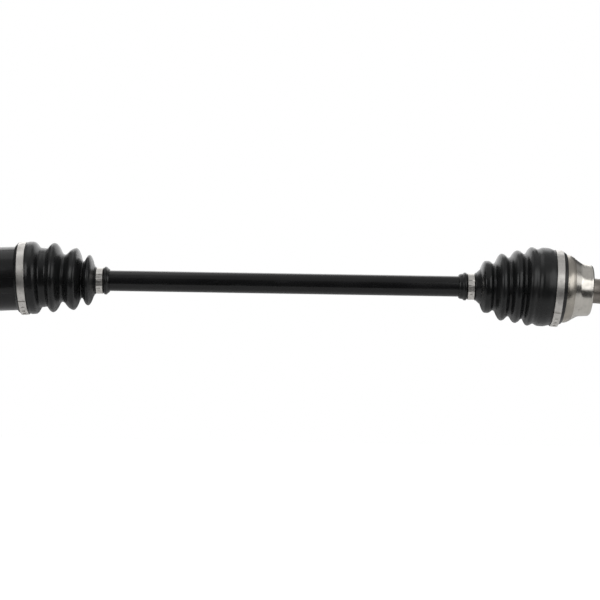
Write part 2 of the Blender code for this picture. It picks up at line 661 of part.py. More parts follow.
def make_roller_set(number, steel, frame, parts):
    """The roller, its needles, the washer and the circlip of one trunnion, along that trunnion's X axis."""
    tilt = math.asin(ROLLER_HALF_W / ROLLER_R)
    rim = arc(ROLLER_R, math.pi / 2 + tilt, math.pi / 2 - tilt, 5, ROLLER_PITCH_R)
    start = ROLLER_PITCH_R - ROLLER_HALF_W
    profile = rim + [(ROLLER_END, ROLLER_BORE_R), (start, ROLLER_BORE_R)]
    turned(f"trunnion_roller_{number}", profile, steel, frame, parts, closed=True, steps=28)
    in_r = TRUNNION_R + GAP
    out_r = ROLLER_BORE_R - GAP
    middle_r = (in_r + out_r) / 2
    pitch = math.pi / NEEDLES
    outside = [polar(out_r if i % 2 else middle_r + GAP, i * pitch) for i in range(2 * NEEDLES)]
    sides = (start + GAP, ROLLER_END - GAP)
    extruded(f"trunnion_needles_{number}", [outside, circle(in_r, 20)], *sides, steel, frame, parts)
    washer = [circle(ROLLER_BORE_R - 2 * GAP, 24), circle(TRUNNION_R + GAP, 20)]
    extruded(f"trunnion_washer_{number}", washer, WASHER_X, WASHER_X + WASHER_T, steel, frame, parts)
    ring_r = TRUNNION_R - CIRCLIP_H / 2 + GAP
    sides = (CIRCLIP_X, CIRCLIP_X + CIRCLIP_T)
    snap_ring(
        f"trunnion_circlip_{number}", ring_r, ring_r + CIRCLIP_H, *sides, CIRCLIP_OPENING, 0.0,
        steel, frame, parts, 20,
    )


def make_bar(black, frame, parts, cutters):
    """The bar, with a splined end inside each joint. Its rings sit in the gaps at the ends of the splines."""
    half = SPAN / 2
    root_r = SPLINE_R - SPLINE_DEPTH
    inner_end = keep_ring()[0] - BAR_TAIL
    inner_shoulder = stop_ring()[1] + BAR_TAIL
    outer_shoulder = half - RACE_HALF_W - BAR_TAIL
    outer_end = race_ring()[1] + BAR_TAIL
    floor_r = root_r - RING_GROOVE_DEPTH
    profile = [(inner_end, 0.0), (inner_end, root_r - CHAMFER), (inner_end + CHAMFER, root_r)]
    profile += [(keep_ring()[0] - GAP, root_r), (keep_ring()[0] - GAP, floor_r)]
    profile += [(stop_ring()[1] + GAP, floor_r), (stop_ring()[1] + GAP, root_r)]
    profile += [(inner_shoulder, root_r), (inner_shoulder + FILLET, BAR_R)]
    profile += [(outer_shoulder - FILLET, BAR_R), (outer_shoulder, floor_r)]
    profile += [(race_ring()[1] + GAP, floor_r), (race_ring()[1] + GAP, root_r)]
    profile += [(outer_end - CHAMFER, root_r), (outer_end, root_r - CHAMFER), (outer_end, 0.0)]
    bar = turned("axle_bar", profile, black, frame, parts, steps=32)
    teeth = [spline_outline(BAR_TEETH, SPLINE_R)]
    inner_teeth = (keep_ring()[1] + GAP, stop_ring()[0] - GAP)
    boolean(bar, extruded("bar_spline_1", teeth, *inner_teeth, None, frame, cutters), "UNION")
    outer_teeth = (outer_shoulder - CHAMFER, race_ring()[0] - GAP)
    boolean(bar, extruded("bar_spline_2", teeth, *outer_teeth, None, frame, cutters), "UNION")


def keep_ring():
    """Where the spider's retaining ring starts and ends along the bar."""
    x = -SPAN / 2 - SPIDER_HALF_W - GAP
    return x - SPIDER_RING_T, x


def stop_ring():
    x = -SPAN / 2 + SPIDER_HALF_W + GAP
    return x, x + SPIDER_RING_T


def race_ring():
    x = SPAN / 2 + RACE_HALF_W + GAP
    return x, x + RACE_RING_T


def bar_ring(name, x0, x1, steel, frame, parts):
    """A retaining ring in its groove on the bar."""
    in_r = SPLINE_R - SPLINE_DEPTH - RING_GROOVE_DEPTH + GAP
    out_r = SPLINE_R + BAR_RING_H
    snap_ring(name, in_r, out_r, x0, x1, RING_OPENING, -math.pi / 2, steel, frame, parts)


def main():
    for obj in list(bpy.data.objects):
        bpy.data.objects.remove(obj)
    parts = new_collection("cv_axle")
    cutters = new_collection("cutters")

    black = make_material("black_paint", (0.018, 0.018, 0.019), 0.35, 0.0)
    machined = make_material("machined_steel", (0.56, 0.54, 0.51), 0.3, 1.0)
    hardened = make_material("hardened_steel", (0.48, 0.48, 0.49), 0.25, 1.0)
    band = make_material("band_steel", (0.62, 0.6, 0.57), 0.38, 1.0)
    spring = make_material("spring_steel", (0.2, 0.2, 0.21), 0.4, 1.0)
    rubber = make_material("boot_rubber", (0.02, 0.02, 0.02), 0.5, 0.0)

    half = SPAN / 2
    bar_frame = make_frame("bar_frame", 0.0)
    race_frame = make_frame("race_frame", half)
    cage_frame = make_frame("cage_frame", half, OUTER_DROOP / 2)
    outer_frame = make_frame("outer_frame", half, OUTER_DROOP)
    spider_frame = make_frame("spider_frame", -half)
    inner_frame = make_frame("inner_frame", -half, -INNER_DROOP)

    make_bar(black, bar_frame, parts, cutters)
    bar_ring("inner_race_circlip", *race_ring(), spring, bar_frame, parts)
    bar_ring("spider_stop_ring", *stop_ring(), spring, bar_frame, parts)
    bar_ring("spider_retaining_ring", *keep_ring(), spring, bar_frame, parts)

    make_inner_race(hardened, race_frame, parts, cutters)
    make_cage(hardened, cage_frame, parts, cutters)
    make_balls(hardened, cage_frame, parts)
    make_outer_housing(machined, outer_frame, parts, cutters)
    make_outer_boot(rubber, race_frame, parts)

    make_spider(hardened, spider_frame, parts, cutters)
    clip_x, clip_r, ring_x, ring_in, ring_out = make_inner_housing(black, inner_frame, parts, cutters)
    snap_ring(
        "housing_snap_ring", ring_in, ring_out, ring_x, ring_x + SNAP_RING_T, SNAP_RING_OPENING, math.pi / 3,
        spring, inner_frame, parts, 40,
    )
    snap_ring(
        "inner_stub_circlip", clip_r, clip_r + STUB_RING_H, clip_x, clip_x + STUB_RING_T,
        RING_OPENING, -math.pi / 2, spring, inner_frame, parts,
    )
    make_inner_boot(rubber, spider_frame, parts)

    large = (LARGE_BAND_W, LARGE_LAP, LARGE_RIDGES, band)
    small = (SMALL_BAND_W, SMALL_LAP, SMALL_RIDGES, band)
    band_clamp("outer_boot_large_clamp", OUTER_CUFF_R, OUTER_BAND_X, *large, outer_frame, parts)
    band_clamp("inner_boot_large_clamp", INNER_CUFF_R, INNER_BAND_X, *large, inner_frame, parts)
    band_clamp("outer_boot_small_clamp", NECK_SEAT_R, OUTER_NECK_X, *small, race_frame, parts)
    band_clamp("inner_boot_small_clamp", NECK_SEAT_R, INNER_NECK_X, *small, spider_frame, parts)


main()
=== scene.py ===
"""The looks of a car's front drive axle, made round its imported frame.

Metres, +Z up. +X runs along the bar to the outer (wheel) end. Each joint's pieces are drawn in a frame of
their own: x along that joint's housing from the joint centre towards the outer end, and y, z across it.
Angles round an axis run from +Y towards +Z, and a profile is a list of (x, radius).
"""

import json
import math

import bmesh
import bpy
from bpy.props import FloatProperty, FloatVectorProperty, IntProperty, PointerProperty
from mathutils import Matrix, Vector

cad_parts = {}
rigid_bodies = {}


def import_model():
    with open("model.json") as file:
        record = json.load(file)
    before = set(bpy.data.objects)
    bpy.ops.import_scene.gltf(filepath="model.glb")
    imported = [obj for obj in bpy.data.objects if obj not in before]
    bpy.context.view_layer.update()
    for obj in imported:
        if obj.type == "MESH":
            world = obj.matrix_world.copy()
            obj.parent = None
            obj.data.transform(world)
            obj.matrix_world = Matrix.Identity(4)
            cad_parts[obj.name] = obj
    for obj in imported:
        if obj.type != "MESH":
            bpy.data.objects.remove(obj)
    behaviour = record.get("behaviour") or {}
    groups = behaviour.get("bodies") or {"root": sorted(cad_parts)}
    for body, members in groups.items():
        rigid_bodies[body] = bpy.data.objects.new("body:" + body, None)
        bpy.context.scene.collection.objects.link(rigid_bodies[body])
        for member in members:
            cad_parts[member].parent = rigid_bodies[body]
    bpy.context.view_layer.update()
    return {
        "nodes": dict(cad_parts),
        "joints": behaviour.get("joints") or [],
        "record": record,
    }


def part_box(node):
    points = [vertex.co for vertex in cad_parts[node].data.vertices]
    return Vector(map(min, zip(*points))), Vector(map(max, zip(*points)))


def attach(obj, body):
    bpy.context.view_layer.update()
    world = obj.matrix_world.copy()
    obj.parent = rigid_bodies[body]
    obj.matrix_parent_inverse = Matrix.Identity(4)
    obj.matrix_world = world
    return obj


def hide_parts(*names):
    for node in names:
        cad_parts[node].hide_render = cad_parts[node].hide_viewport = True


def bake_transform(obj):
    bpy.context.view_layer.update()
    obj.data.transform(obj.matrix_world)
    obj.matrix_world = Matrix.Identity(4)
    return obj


bl_info = {
    "name": "Drive Axle Looks",
    "version": (1, 0, 0),
    "blender": (4, 5, 0),
    "location": "3D View > Sidebar > Drive Axle",
    "description": "Makes the detailed pieces and finishes of a front drive axle round its packed frame",
    "category": "Object",
}

GAP = 0.0003  # between pieces that touch

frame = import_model()
joints = {joint["name"]: joint for joint in frame["joints"]}
mounts = {mount["name"]: mount for mount in frame["record"]["mounts"]}


def joint_frame(centre, shoulder):
    """The frame at a joint's centre whose x runs along the axis of the shoulder, towards the outer end."""
    axis = Vector(mounts[shoulder]["axis"])
    if axis.x < 0:
        axis = -axis
    return Matrix.Translation(centre) @ Matrix.Rotation(math.atan2(-axis.z, axis.x), 4, "Y")


def middle_x(node, place):
    """Where the middle of a node's box is along a frame's x."""
    low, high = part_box(node)
    return (place.inverted() @ ((low + high) / 2)).x


OUTER_CENTRE = Vector(joints["outer_bend_bar_side"]["pos_m"])
INNER_CENTRE = Vector(joints["inner_bend"]["pos_m"])
OUTER_AXIS = joint_frame(OUTER_CENTRE, "wheel_bearing_shoulder")
INNER_AXIS = joint_frame(INNER_CENTRE, "gearbox_seal_shoulder")
BAR_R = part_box("axle_bar")[1].y
TULIP_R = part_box("inner_housing")[1].y
OUTER_REACH = (OUTER_AXIS.inverted() @ Vector(mounts["outer_stub_end"]["pos_m"])).x
OUTER_FACE = (OUTER_AXIS.inverted() @ Vector(mounts["wheel_bearing_shoulder"]["pos_m"])).x
INNER_REACH = (INNER_AXIS.inverted() @ Vector(mounts["inner_stub_end"]["pos_m"])).x
INNER_FACE = (INNER_AXIS.inverted() @ Vector(mounts["gearbox_seal_shoulder"]["pos_m"])).x


# ---------------------------------------------------------------- settings


def length(name, description, default):
    return FloatProperty(name=name, description=description, default=default, unit="LENGTH", precision=5)


def colour(name, description, default):
    return FloatVectorProperty(
        name=name, description=description, default=default, subtype="COLOR", size=3, min=0.0, max=1.0
    )


class BellSettings(bpy.types.PropertyGroup):
    mouth_x: length("Mouth", "Where the bell's mouth is along its axis", -0.0145)
    sphere_radius: length("Cavity Radius", "Radius of the cavity that the cage runs in", 0.03129)
    seat_radius: length("Seat Radius", "Radius under the boot's cuff", 0.04138)
    shoulder_x: length("Shoulder", "Where the dome starts to fall", 0.0105)
    edge_x: length("Machined Edge", "Where the forged dome ends and the turned cone starts", 0.019)
    land_radius: length("Land Radius", "Radius of the turned land by the shoulder's face", 0.032)
    land_x: length("Land", "Where the land starts", 0.0285)
    corner: length("Corner", "Radius of the land's outer corner", 0.0032)
    stub_radius: length("Stub Radius", "Radius of the bearing seat", 0.015)
    seat_length: length("Seat Length", "Length of the bearing seat", 0.014)
    spline_length: length("Spline Length", "Length of the stub's spline", 0.045)
    thread_radius: length("Thread Radius", "Outside radius of the stub's thread", 0.0119)
    thread_pitch: length("Thread Pitch", "From one turn of the thread to the next", 0.0015)
    teeth: IntProperty(name="Teeth", description="Teeth of each stub's spline", default=20, min=6)


class TulipSettings(bpy.types.PropertyGroup):
    mouth_x: length("Mouth", "Where the housing's mouth is along its axis", 0.040055)
    back_x: length("Back", "Where the roller tracks end", -0.037455)
    end_x: length("End", "Where the housing's closed end is", -0.046955)
    track_radius: length("Track Radius", "From the axis to the top of a roller track", 0.033826)
    track_half: length("Track Half Width", "Half the width of a roller track", 0.0179)
    bore_radius: length("Bore Radius", "Radius of the central bore", 0.0215)
    boss_radius: length("Boss Radius", "Radius of the boss behind the housing", 0.024)
    seal_radius: length("Seal Radius", "Radius of the oil seal's seat", 0.019)
    seal_length: length("Seal Length", "Length of the oil seal's seat", 0.025)
    spline_radius: length("Spline Radius", "Radius over the inner stub's teeth", 0.0136)


class BootSettings(bpy.types.PropertyGroup):
    wall: length("Wall", "Thickness of the bellows", 0.0016)
    neck_radius: length("Neck Radius", "Radius of the small clamp's seat", 0.015)
    outer_cuff_radius: length("Outer Cuff Radius", "Radius of the outer large clamp's seat", 0.04528)
    inner_cuff_radius: length("Inner Cuff Radius", "Radius of the inner large clamp's seat", 0.042726)
    seam: length("Mould Seam", "Height of the line that the mould leaves", 0.00005)


class ClampSettings(bpy.types.PropertyGroup):
    thickness: length("Thickness", "Thickness of the band", 0.0008)
    large_width: length("Large Width", "Width of the large clamps' bands", 0.0088)
    small_width: length("Small Width", "Width of the small clamps' bands", 0.0078)
    crimp_height: length("Crimp Height", "How far a crimp stands up", 0.00072)
    edge: length("Edge Radius", "Rounding of the band's edges", 0.00022)


class FinishSettings(bpy.types.PropertyGroup):
    paint: colour("Paint", "Black paint on the bar and the inner housing", (0.0058, 0.0058, 0.0062))
    rubber: colour("Rubber", "Rubber of the boots", (0.0055, 0.0058, 0.006))
    bell: colour("Turned Steel", "Turned steel of the bell", (0.60, 0.575, 0.53))
    forged: colour("Forged Steel", "Forged dome of the bell", (0.47, 0.44, 0.39))
    stub: colour("Stub Steel", "Phosphated steel of the outer stub", (0.27, 0.245, 0.22))
    band: colour("Band Steel", "Steel of the clamps", (0.66, 0.64, 0.61))
    hardened: colour("Hardened Steel", "Ground steel of balls, rollers and races", (0.5, 0.5, 0.51))
    spring: colour("Spring Steel", "Phosphated steel of the rings", (0.16, 0.16, 0.17))
    floor: colour("Floor", "Pale floor", (0.78, 0.78, 0.78))


class StageSettings(bpy.types.PropertyGroup):
    distance: length("Camera Distance", "From the camera to the bar's line", 2.3)
    across: length("Width Seen", "Width seen at the bar", 0.7282)
    aim_x: length("Aim Along", "Where along the bar the camera aims", 0.02584)
    aim_z: length("Aim Height", "Height that the camera aims at", -0.0197)
    roll: FloatProperty(name="Roll", description="Camera roll", default=math.radians(-0.942), subtype="ANGLE")
    floor_z: length("Floor Height", "Height of the floor", -0.42)
    floor_front: length("Floor Front", "How far the floor comes towards the camera", 0.60)


# ---------------------------------------------------------------- shapes


def polar(radius, angle):
    return (radius * math.cos(angle), radius * math.sin(angle))


def arc(radius, start, end, count, x=0.0, y=0.0):
    """Points (x, y) on a circle, by angle from the x axis."""
    angles = [start + (end - start) * i / (count - 1) for i in range(count)]
    return [(x + radius * math.cos(a), y + radius * math.sin(a)) for a in angles]


def rounded(points, count=5):
    """A profile whose corners are rounded: each point is (x, radius, rounding)."""
    line = []
    for i, (x, r, rounding) in enumerate(points):
        if rounding == 0.0 or i in (0, len(points) - 1):
            line.append((x, r))
            continue
        corner = Vector((x, r))
        before = (Vector(points[i - 1][:2]) - corner).normalized()
        after = (Vector(points[i + 1][:2]) - corner).normalized()
        for step in range(count):
            t = step / (count - 1)
            bend = 2 * t * (1 - t)
            start = corner + before * rounding
            end = corner + after * rounding
            line.append(tuple(start * (1 - t) ** 2 + corner * bend + end * t**2))
    return line


def link(name, mesh):
    obj = bpy.data.objects.new(name, mesh)
    bpy.context.scene.collection.objects.link(obj)
    return obj


def shade(mesh, angle=32):
    mesh.shade_smooth()
    mesh.set_sharp_from_angle(angle=math.radians(angle))


def made_mesh(name, bm, outward=True):
    """A mesh of the bmesh, with its faces turned outward where that isn't so already."""
    if outward:
        bmesh.ops.recalc_face_normals(bm, faces=bm.faces)
    mesh = bpy.data.meshes.new(name)
    bm.to_mesh(mesh)
    bm.free()
    return mesh


def tube_mesh(name, rings, start_x=None):
    """A solid whose section goes from ring to ring. With a start, v in its UV map is the length along x."""
    bm = bmesh.new()
    uv = None if start_x is None else bm.loops.layers.uv.new("turned")
    rings = [[bm.verts.new(point) for point in ring] for ring in rings]
    for a, b in zip(rings, rings[1:]):
        for k in range(len(a)):
            n = (k + 1) % len(a)
            bm.faces.new((a[k], a[n], b[n], b[k]))
    bm.faces.new(rings[0])
    bm.faces.new(rings[-1])
    if uv is not None:
        for face in bm.faces:
            for loop in face.loops:
                loop[uv].uv = (0.0, loop.vert.co.x - start_x)
    return made_mesh(name, bm)


def turned_mesh(name, profile, steps=112, closed=False):
    """A solid turned about X. Its UV map goes once around in u, and v is the length along the profile."""
    bm = bmesh.new()
    uv = bm.loops.layers.uv.new("turned")
    rings = []
    for x, r in profile:
        count = 1 if r < 1e-6 else steps
        rings.append([bm.verts.new((x, *polar(r, 2 * math.pi * k / steps))) for k in range(count)])
    run = 0.0
    last = len(profile) if closed else len(profile) - 1
    for i in range(last):
        j = (i + 1) % len(profile)
        grown = run + math.dist(profile[i], profile[j])
        a, b = rings[i], rings[j]
        for k in range(steps):
            corners = [(a, k, run), (a, k + 1, run), (b, k + 1, grown), (b, k, grown)]
            if len(a) == 1:
                corners.pop(1)
            elif len(b) == 1:
                corners.pop(3)
            face = bm.faces.new([ring[n % len(ring)] for ring, n, _ in corners])
            for loop, (_, n, v) in zip(face.loops, corners):
                loop[uv].uv = (n / steps, v)
        run = grown
    return made_mesh(name, bm)


def turned(name, profile, place, steps=112, closed=False):
    mesh = turned_mesh(name, profile, steps, closed)
    mesh.transform(place)
    shade(mesh)
    return link(name, mesh)


def extruded_mesh(name, outline, x0, x1):
    """A solid with the (y, z) outline as its section, from x0 to x1."""
    bm = bmesh.new()
    uv = bm.loops.layers.uv.new("turned")
    ends = [[bm.verts.new((x, y, z)) for y, z in outline] for x in (x0, x1)]
    count = len(outline)
    for k in range(count):
        n = (k + 1) % count
        face = bm.faces.new((ends[0][k], ends[0][n], ends[1][n], ends[1][k]))
        for loop, v in zip(face.loops, (0.0, 0.0, x1 - x0, x1 - x0)):
            loop[uv].uv = (k / count, v)
    bm.faces.new(ends[0])
    bm.faces.new(ends[1])
    return made_mesh(name, bm)


def plain(obj):
    """Turns the object's evaluated shape into its own plain mesh."""
    bpy.context.view_layer.update()
    graph = bpy.context.evaluated_depsgraph_get()
    mesh = bpy.data.meshes.new_from_object(obj.evaluated_get(graph))
    obj.modifiers.clear()
    obj.data = mesh
    return obj


def boolean(obj, tools, operation):
    """Cuts or joins the tool meshes, which are then removed."""
    objects = [link(tool.name, tool) for tool in tools]
    for tool in objects:
        modifier = obj.modifiers.new(tool.name, "BOOLEAN")
        modifier.operation = operation
        modifier.solver = "EXACT"
        modifier.object = tool
    plain(obj)
    for tool in objects:
        bpy.data.objects.remove(tool)
    return obj


def joined(name, meshes, place):
    """One object from several meshes."""
    bm = bmesh.new()
    for mesh in meshes:
        bm.from_mesh(mesh)
    mesh = made_mesh(name, bm, outward=False)
    mesh.transform(place)
    shade(mesh)
    return link(name, mesh)


def wire(tree, pairs):
    """Links each node output to its input."""
    for output, socket in pairs:
        tree.links.new(output, socket)


# ---------------------------------------------------------------- copies by geometry nodes


def copies_tree():
    """A tree that turns copies of its geometry about X, a step apart."""
    tree = bpy.data.node_groups.get("ring_of_copies")
    if tree:
        return tree
    tree = bpy.data.node_groups.new("ring_of_copies", "GeometryNodeTree")
    face = tree.interface
    face.new_socket(name="Geometry", in_out="INPUT", socket_type="NodeSocketGeometry")
    count = face.new_socket(name="Count", in_out="INPUT", socket_type="NodeSocketInt")
    count.default_value = 6
    face.new_socket(name="Step", in_out="INPUT", socket_type="NodeSocketFloat")
    face.new_socket(name="Start", in_out="INPUT", socket_type="NodeSocketFloat")
    face.new_socket(name="Finish", in_out="INPUT", socket_type="NodeSocketMaterial")
    face.new_socket(name="Geometry", in_out="OUTPUT", socket_type="NodeSocketGeometry")
    given = tree.nodes.new("NodeGroupInput")
    points = tree.nodes.new("GeometryNodeMeshLine")
    points.inputs["Offset"].default_value = (0.0, 0.0, 0.0)
    index = tree.nodes.new("GeometryNodeInputIndex")
    angle = tree.nodes.new("ShaderNodeMath")
    angle.operation = "MULTIPLY_ADD"
    turn = tree.nodes.new("ShaderNodeCombineXYZ")
    copies = tree.nodes.new("GeometryNodeInstanceOnPoints")
    real = tree.nodes.new("GeometryNodeRealizeInstances")
    finish = tree.nodes.new("GeometryNodeSetMaterial")
    made = tree.nodes.new("NodeGroupOutput")
    wire(tree, [
        (given.outputs["Count"], points.inputs["Count"]),
        (index.outputs[0], angle.inputs[0]),
        (given.outputs["Step"], angle.inputs[1]),
        (given.outputs["Start"], angle.inputs[2]),
        (angle.outputs[0], turn.inputs["X"]),
        (points.outputs["Mesh"], copies.inputs["Points"]),
        (given.outputs["Geometry"], copies.inputs["Instance"]),
        (turn.outputs[0], copies.inputs["Rotation"]),
        (copies.outputs[0], real.inputs[0]),
        (real.outputs[0], finish.inputs["Geometry"]),
        (given.outputs["Finish"], finish.inputs["Material"]),
        (finish.outputs[0], made.inputs["Geometry"]),
    ])
    return tree


def copies_mesh(mesh, count, step, start, material):
    """A mesh with copies of the given one, turned about X from the start angle by equal steps."""
    tree = copies_tree()
    obj = link(mesh.name, mesh)
    modifier = obj.modifiers.new("Copies", "NODES")
    modifier.node_group = tree
    values = {"Count": count, "Step": step, "Start": start, "Finish": material}
    for item in tree.interface.items_tree:
        if item.in_out == "INPUT" and item.name in values:
            modifier[item.identifier] = values[item.name]
    plain(obj)
    made = obj.data
    bpy.data.objects.remove(obj)
    return made


# ---------------------------------------------------------------- shader groups


def shader_group(name, inputs, output):
    """A shader node group with float inputs and one float output."""
    tree = bpy.data.node_groups.new(name, "ShaderNodeTree")
    for label, value in inputs.items():
        socket = tree.interface.new_socket(name=label, in_out="INPUT", socket_type="NodeSocketFloat")
        socket.default_value = value
    tree.interface.new_socket(name=output, in_out="OUTPUT", socket_type="NodeSocketFloat")
    return tree, tree.nodes.new("NodeGroupInput"), tree.nodes.new("NodeGroupOutput")


def patches_group():
    """Soft patches: a noise whose band between low and high becomes a mask from 0 to 1."""
    name = "patches"
    if name in bpy.data.node_groups:
        return bpy.data.node_groups[name]
    inputs = {"Scale": 60.0, "Detail": 3.0, "Low": 0.45, "High": 0.6, "Stretch": 1.0}
    tree, given, made = shader_group(name, inputs, "Mask")
    place = tree.nodes.new("ShaderNodeTexCoord")
    stretch = tree.nodes.new("ShaderNodeCombineXYZ")
    stretch.inputs["Y"].default_value = 1.0
    stretch.inputs["Z"].default_value = 1.0
    longer = tree.nodes.new("ShaderNodeVectorMath")
    longer.operation = "MULTIPLY"
    noise = tree.nodes.new("ShaderNodeTexNoise")
    band = tree.nodes.new("ShaderNodeMapRange")
    wire(tree, [
        (given.outputs["Stretch"], stretch.inputs["X"]),
        (place.outputs["Object"], longer.inputs[0]),
        (stretch.outputs[0], longer.inputs[1]),
        (longer.outputs[0], noise.inputs["Vector"]),
        (given.outputs["Scale"], noise.inputs["Scale"]),
        (given.outputs["Detail"], noise.inputs["Detail"]),
        (noise.outputs["Fac"], band.inputs["Value"]),
        (given.outputs["Low"], band.inputs["From Min"]),
        (given.outputs["High"], band.inputs["From Max"]),
        (band.outputs["Result"], made.inputs["Mask"]),
    ])
    return tree


def rings_group():
    """Fine lines that run round a turned or rolled surface, as a height from 0 to 1."""
    name = "rings"
    if name in bpy.data.node_groups:
        return bpy.data.node_groups[name]
    tree, given, made = shader_group(name, {"Lines per Metre": 2500.0, "Detail": 2.0}, "Height")
    around = tree.nodes.new("ShaderNodeUVMap")
    around.uv_map = "turned"
    parts = tree.nodes.new("ShaderNodeSeparateXYZ")
    count = tree.nodes.new("ShaderNodeMath")
    count.operation = "MULTIPLY"
    noise = tree.nodes.new("ShaderNodeTexNoise")
    noise.noise_dimensions = "1D"
    noise.inputs["Scale"].default_value = 1.0
    wire(tree, [
        (around.outputs[0], parts.inputs[0]),
        (parts.outputs["Y"], count.inputs[0]),
        (given.outputs["Lines per Metre"], count.inputs[1]),
        (count.outputs[0], noise.inputs["W"]),
        (given.outputs["Detail"], noise.inputs["Detail"]),
        (noise.outputs["Fac"], made.inputs["Height"]),
    ])
    return tree


def material(name, metallic=0.0, **sockets):
    """A material, with constants set on its shader's own sockets."""
    made = bpy.data.materials.new(name)
    made.use_nodes = True
    shader = made.node_tree.nodes["Principled BSDF"]
    shader.inputs["Metallic"].default_value = metallic
    for label, value in sockets.items():
        shader.inputs[label.replace("_", " ")].default_value = value
    return made, made.node_tree, shader


def use(tree, group, **values):
    node = tree.nodes.new("ShaderNodeGroup")
    node.node_tree = group
    for label, value in values.items():
        node.inputs[label.replace("_", " ")].default_value = value
    return node.outputs[0]


def mixed(tree, mask, low, high):
    """A colour between two, by a mask. Either may be a colour or another node's output."""
    node = tree.nodes.new("ShaderNodeMix")
    node.data_type = "RGBA"
    tree.links.new(mask, node.inputs["Factor"])
    for socket, value in ((node.inputs[6], low), (node.inputs[7], high)):
        if isinstance(value, bpy.types.NodeSocket):
            tree.links.new(value, socket)
        else:
            socket.default_value = (*value, 1.0)
    return node.outputs[2]


def ranged(tree, value, low, high):
    """A value from 0 to 1 spread over a new range."""
    node = tree.nodes.new("ShaderNodeMapRange")
    node.inputs["To Min"].default_value = low
    node.inputs["To Max"].default_value = high
    tree.links.new(value, node.inputs["Value"])
    return node.outputs["Result"]


def bump(tree, shader, heights):
    """Chained bumps: each height comes with its depth in metres and its strength."""
    before = None
    for height, depth, strength in heights:
        node = tree.nodes.new("ShaderNodeBump")
        node.inputs["Distance"].default_value = depth
        node.inputs["Strength"].default_value = strength
        tree.links.new(height, node.inputs["Height"])
        if before:
            tree.links.new(before, node.inputs["Normal"])
        before = node.outputs["Normal"]
    tree.links.new(before, shader.inputs["Normal"])


def scaled(base, factor):
    return tuple(min(1.0, c * factor) for c in base)


# How each finish is made. A texture is soft patches (scale, detail, low, high, stretch along x) or rings
# (lines per metre, detail). Shades are (texture, the colour's factor at 0 and at 1), spots (texture, factor),
# roughness (texture, from, to) and a bump (texture, depth in metres, strength).
RECIPES = {
    "black_paint": {
        "colour": "paint", "metallic": 0.0,
        "sockets": {"Coat_Weight": 0.08, "Coat_Roughness": 0.12, "Specular_IOR_Level": 0.3},
        "textures": {
            "clouds": (45.0, 4.0, 0.35, 0.7, 0.35), "scuffs": (260.0, 6.0, 0.62, 0.74, 0.12),
            "peel": (900.0, 2.0, 0.2, 0.8),
        },
        "shades": ("clouds", 1.0, 1.7), "spots": ("scuffs", 3.4), "roughness": ("clouds", 0.16, 0.25),
        "bumps": (("peel", 0.00006, 0.35), ("clouds", 0.0002, 0.12)),
    },
    "boot_rubber": {
        "colour": "rubber", "metallic": 0.0,
        "sockets": {"Specular_IOR_Level": 0.38, "Sheen_Weight": 0.03, "Sheen_Roughness": 0.4},
        "textures": {
            "bloom": (38.0, 5.0, 0.4, 0.75), "specks": (700.0, 3.0, 0.63, 0.72),
            "grain": (1500.0, 3.0, 0.2, 0.8), "flow": (900.0, 3.0),
        },
        "shades": ("bloom", 1.0, 1.8), "spots": ("specks", 3.2), "roughness": ("bloom", 0.25, 0.36),
        "bumps": (("grain", 0.00008, 0.3), ("flow", 0.00008, 0.25)),
    },
    "turned_steel": {
        "colour": "bell", "metallic": 1.0,
        "textures": {"lines": (2600.0, 3.0), "bands": (260.0, 1.0), "marks": (110.0, 5.0, 0.5, 0.72)},
        "shades": ("bands", 0.9, 1.08), "spots": ("marks", 0.8), "roughness": ("marks", 0.2, 0.3),
        "bumps": (("lines", 0.00004, 0.25),),
    },
    "forged_steel": {
        "colour": "forged", "metallic": 1.0,
        "textures": {
            "clouds": (55.0, 5.0, 0.35, 0.7), "pits": (520.0, 4.0, 0.3, 0.75), "lines": (1500.0, 2.0),
        },
        "shades": ("clouds", 1.0, 0.72), "roughness": ("clouds", 0.24, 0.36),
        "bumps": (("pits", 0.00012, 0.22), ("lines", 0.00004, 0.2)),
    },
    "stub_steel": {
        "colour": "stub", "metallic": 0.85,
        "textures": {"clouds": (90.0, 5.0, 0.35, 0.7), "lines": (2200.0, 2.0)},
        "shades": ("clouds", 1.0, 0.68), "roughness": ("clouds", 0.34, 0.5),
        "bumps": (("clouds", 0.0001, 0.2), ("lines", 0.00004, 0.3)),
    },
    "band_steel": {
        "colour": "band", "metallic": 1.0,
        "textures": {
            "lines": (5200.0, 4.0), "stains": (130.0, 4.0, 0.45, 0.75), "scuffs": (600.0, 5.0, 0.6, 0.7),
        },
        "shades": ("stains", 1.0, 0.82), "spots": ("scuffs", 0.6), "roughness": ("stains", 0.34, 0.48),
        "bumps": (("lines", 0.00003, 0.3), ("scuffs", 0.00005, 0.2)),
    },
    "hardened_steel": {
        "colour": "hardened", "metallic": 1.0,
        "textures": {"clouds": (120.0, 4.0, 0.4, 0.7), "fine": (1600.0, 3.0, 0.3, 0.7, 0.2)},
        "shades": ("clouds", 1.0, 0.75), "roughness": ("clouds", 0.14, 0.26),
        "bumps": (("fine", 0.00003, 0.2),),
    },
    "spring_steel": {
        "colour": "spring", "metallic": 0.7,
        "textures": {"clouds": (180.0, 4.0, 0.35, 0.7), "fine": (1400.0, 3.0, 0.3, 0.7)},
        "shades": ("clouds", 1.0, 0.6), "roughness": ("clouds", 0.36, 0.52),
        "bumps": (("fine", 0.00005, 0.25),),
    },
}


def texture(tree, values):
    """A node of rings for two values, and of patches for more."""
    if len(values) == 2:
        group, labels = rings_group(), ("Lines_per_Metre", "Detail")
    else:
        group, labels = patches_group(), ("Scale", "Detail", "Low", "High", "Stretch")
    return use(tree, group, **dict(zip(labels, values)))


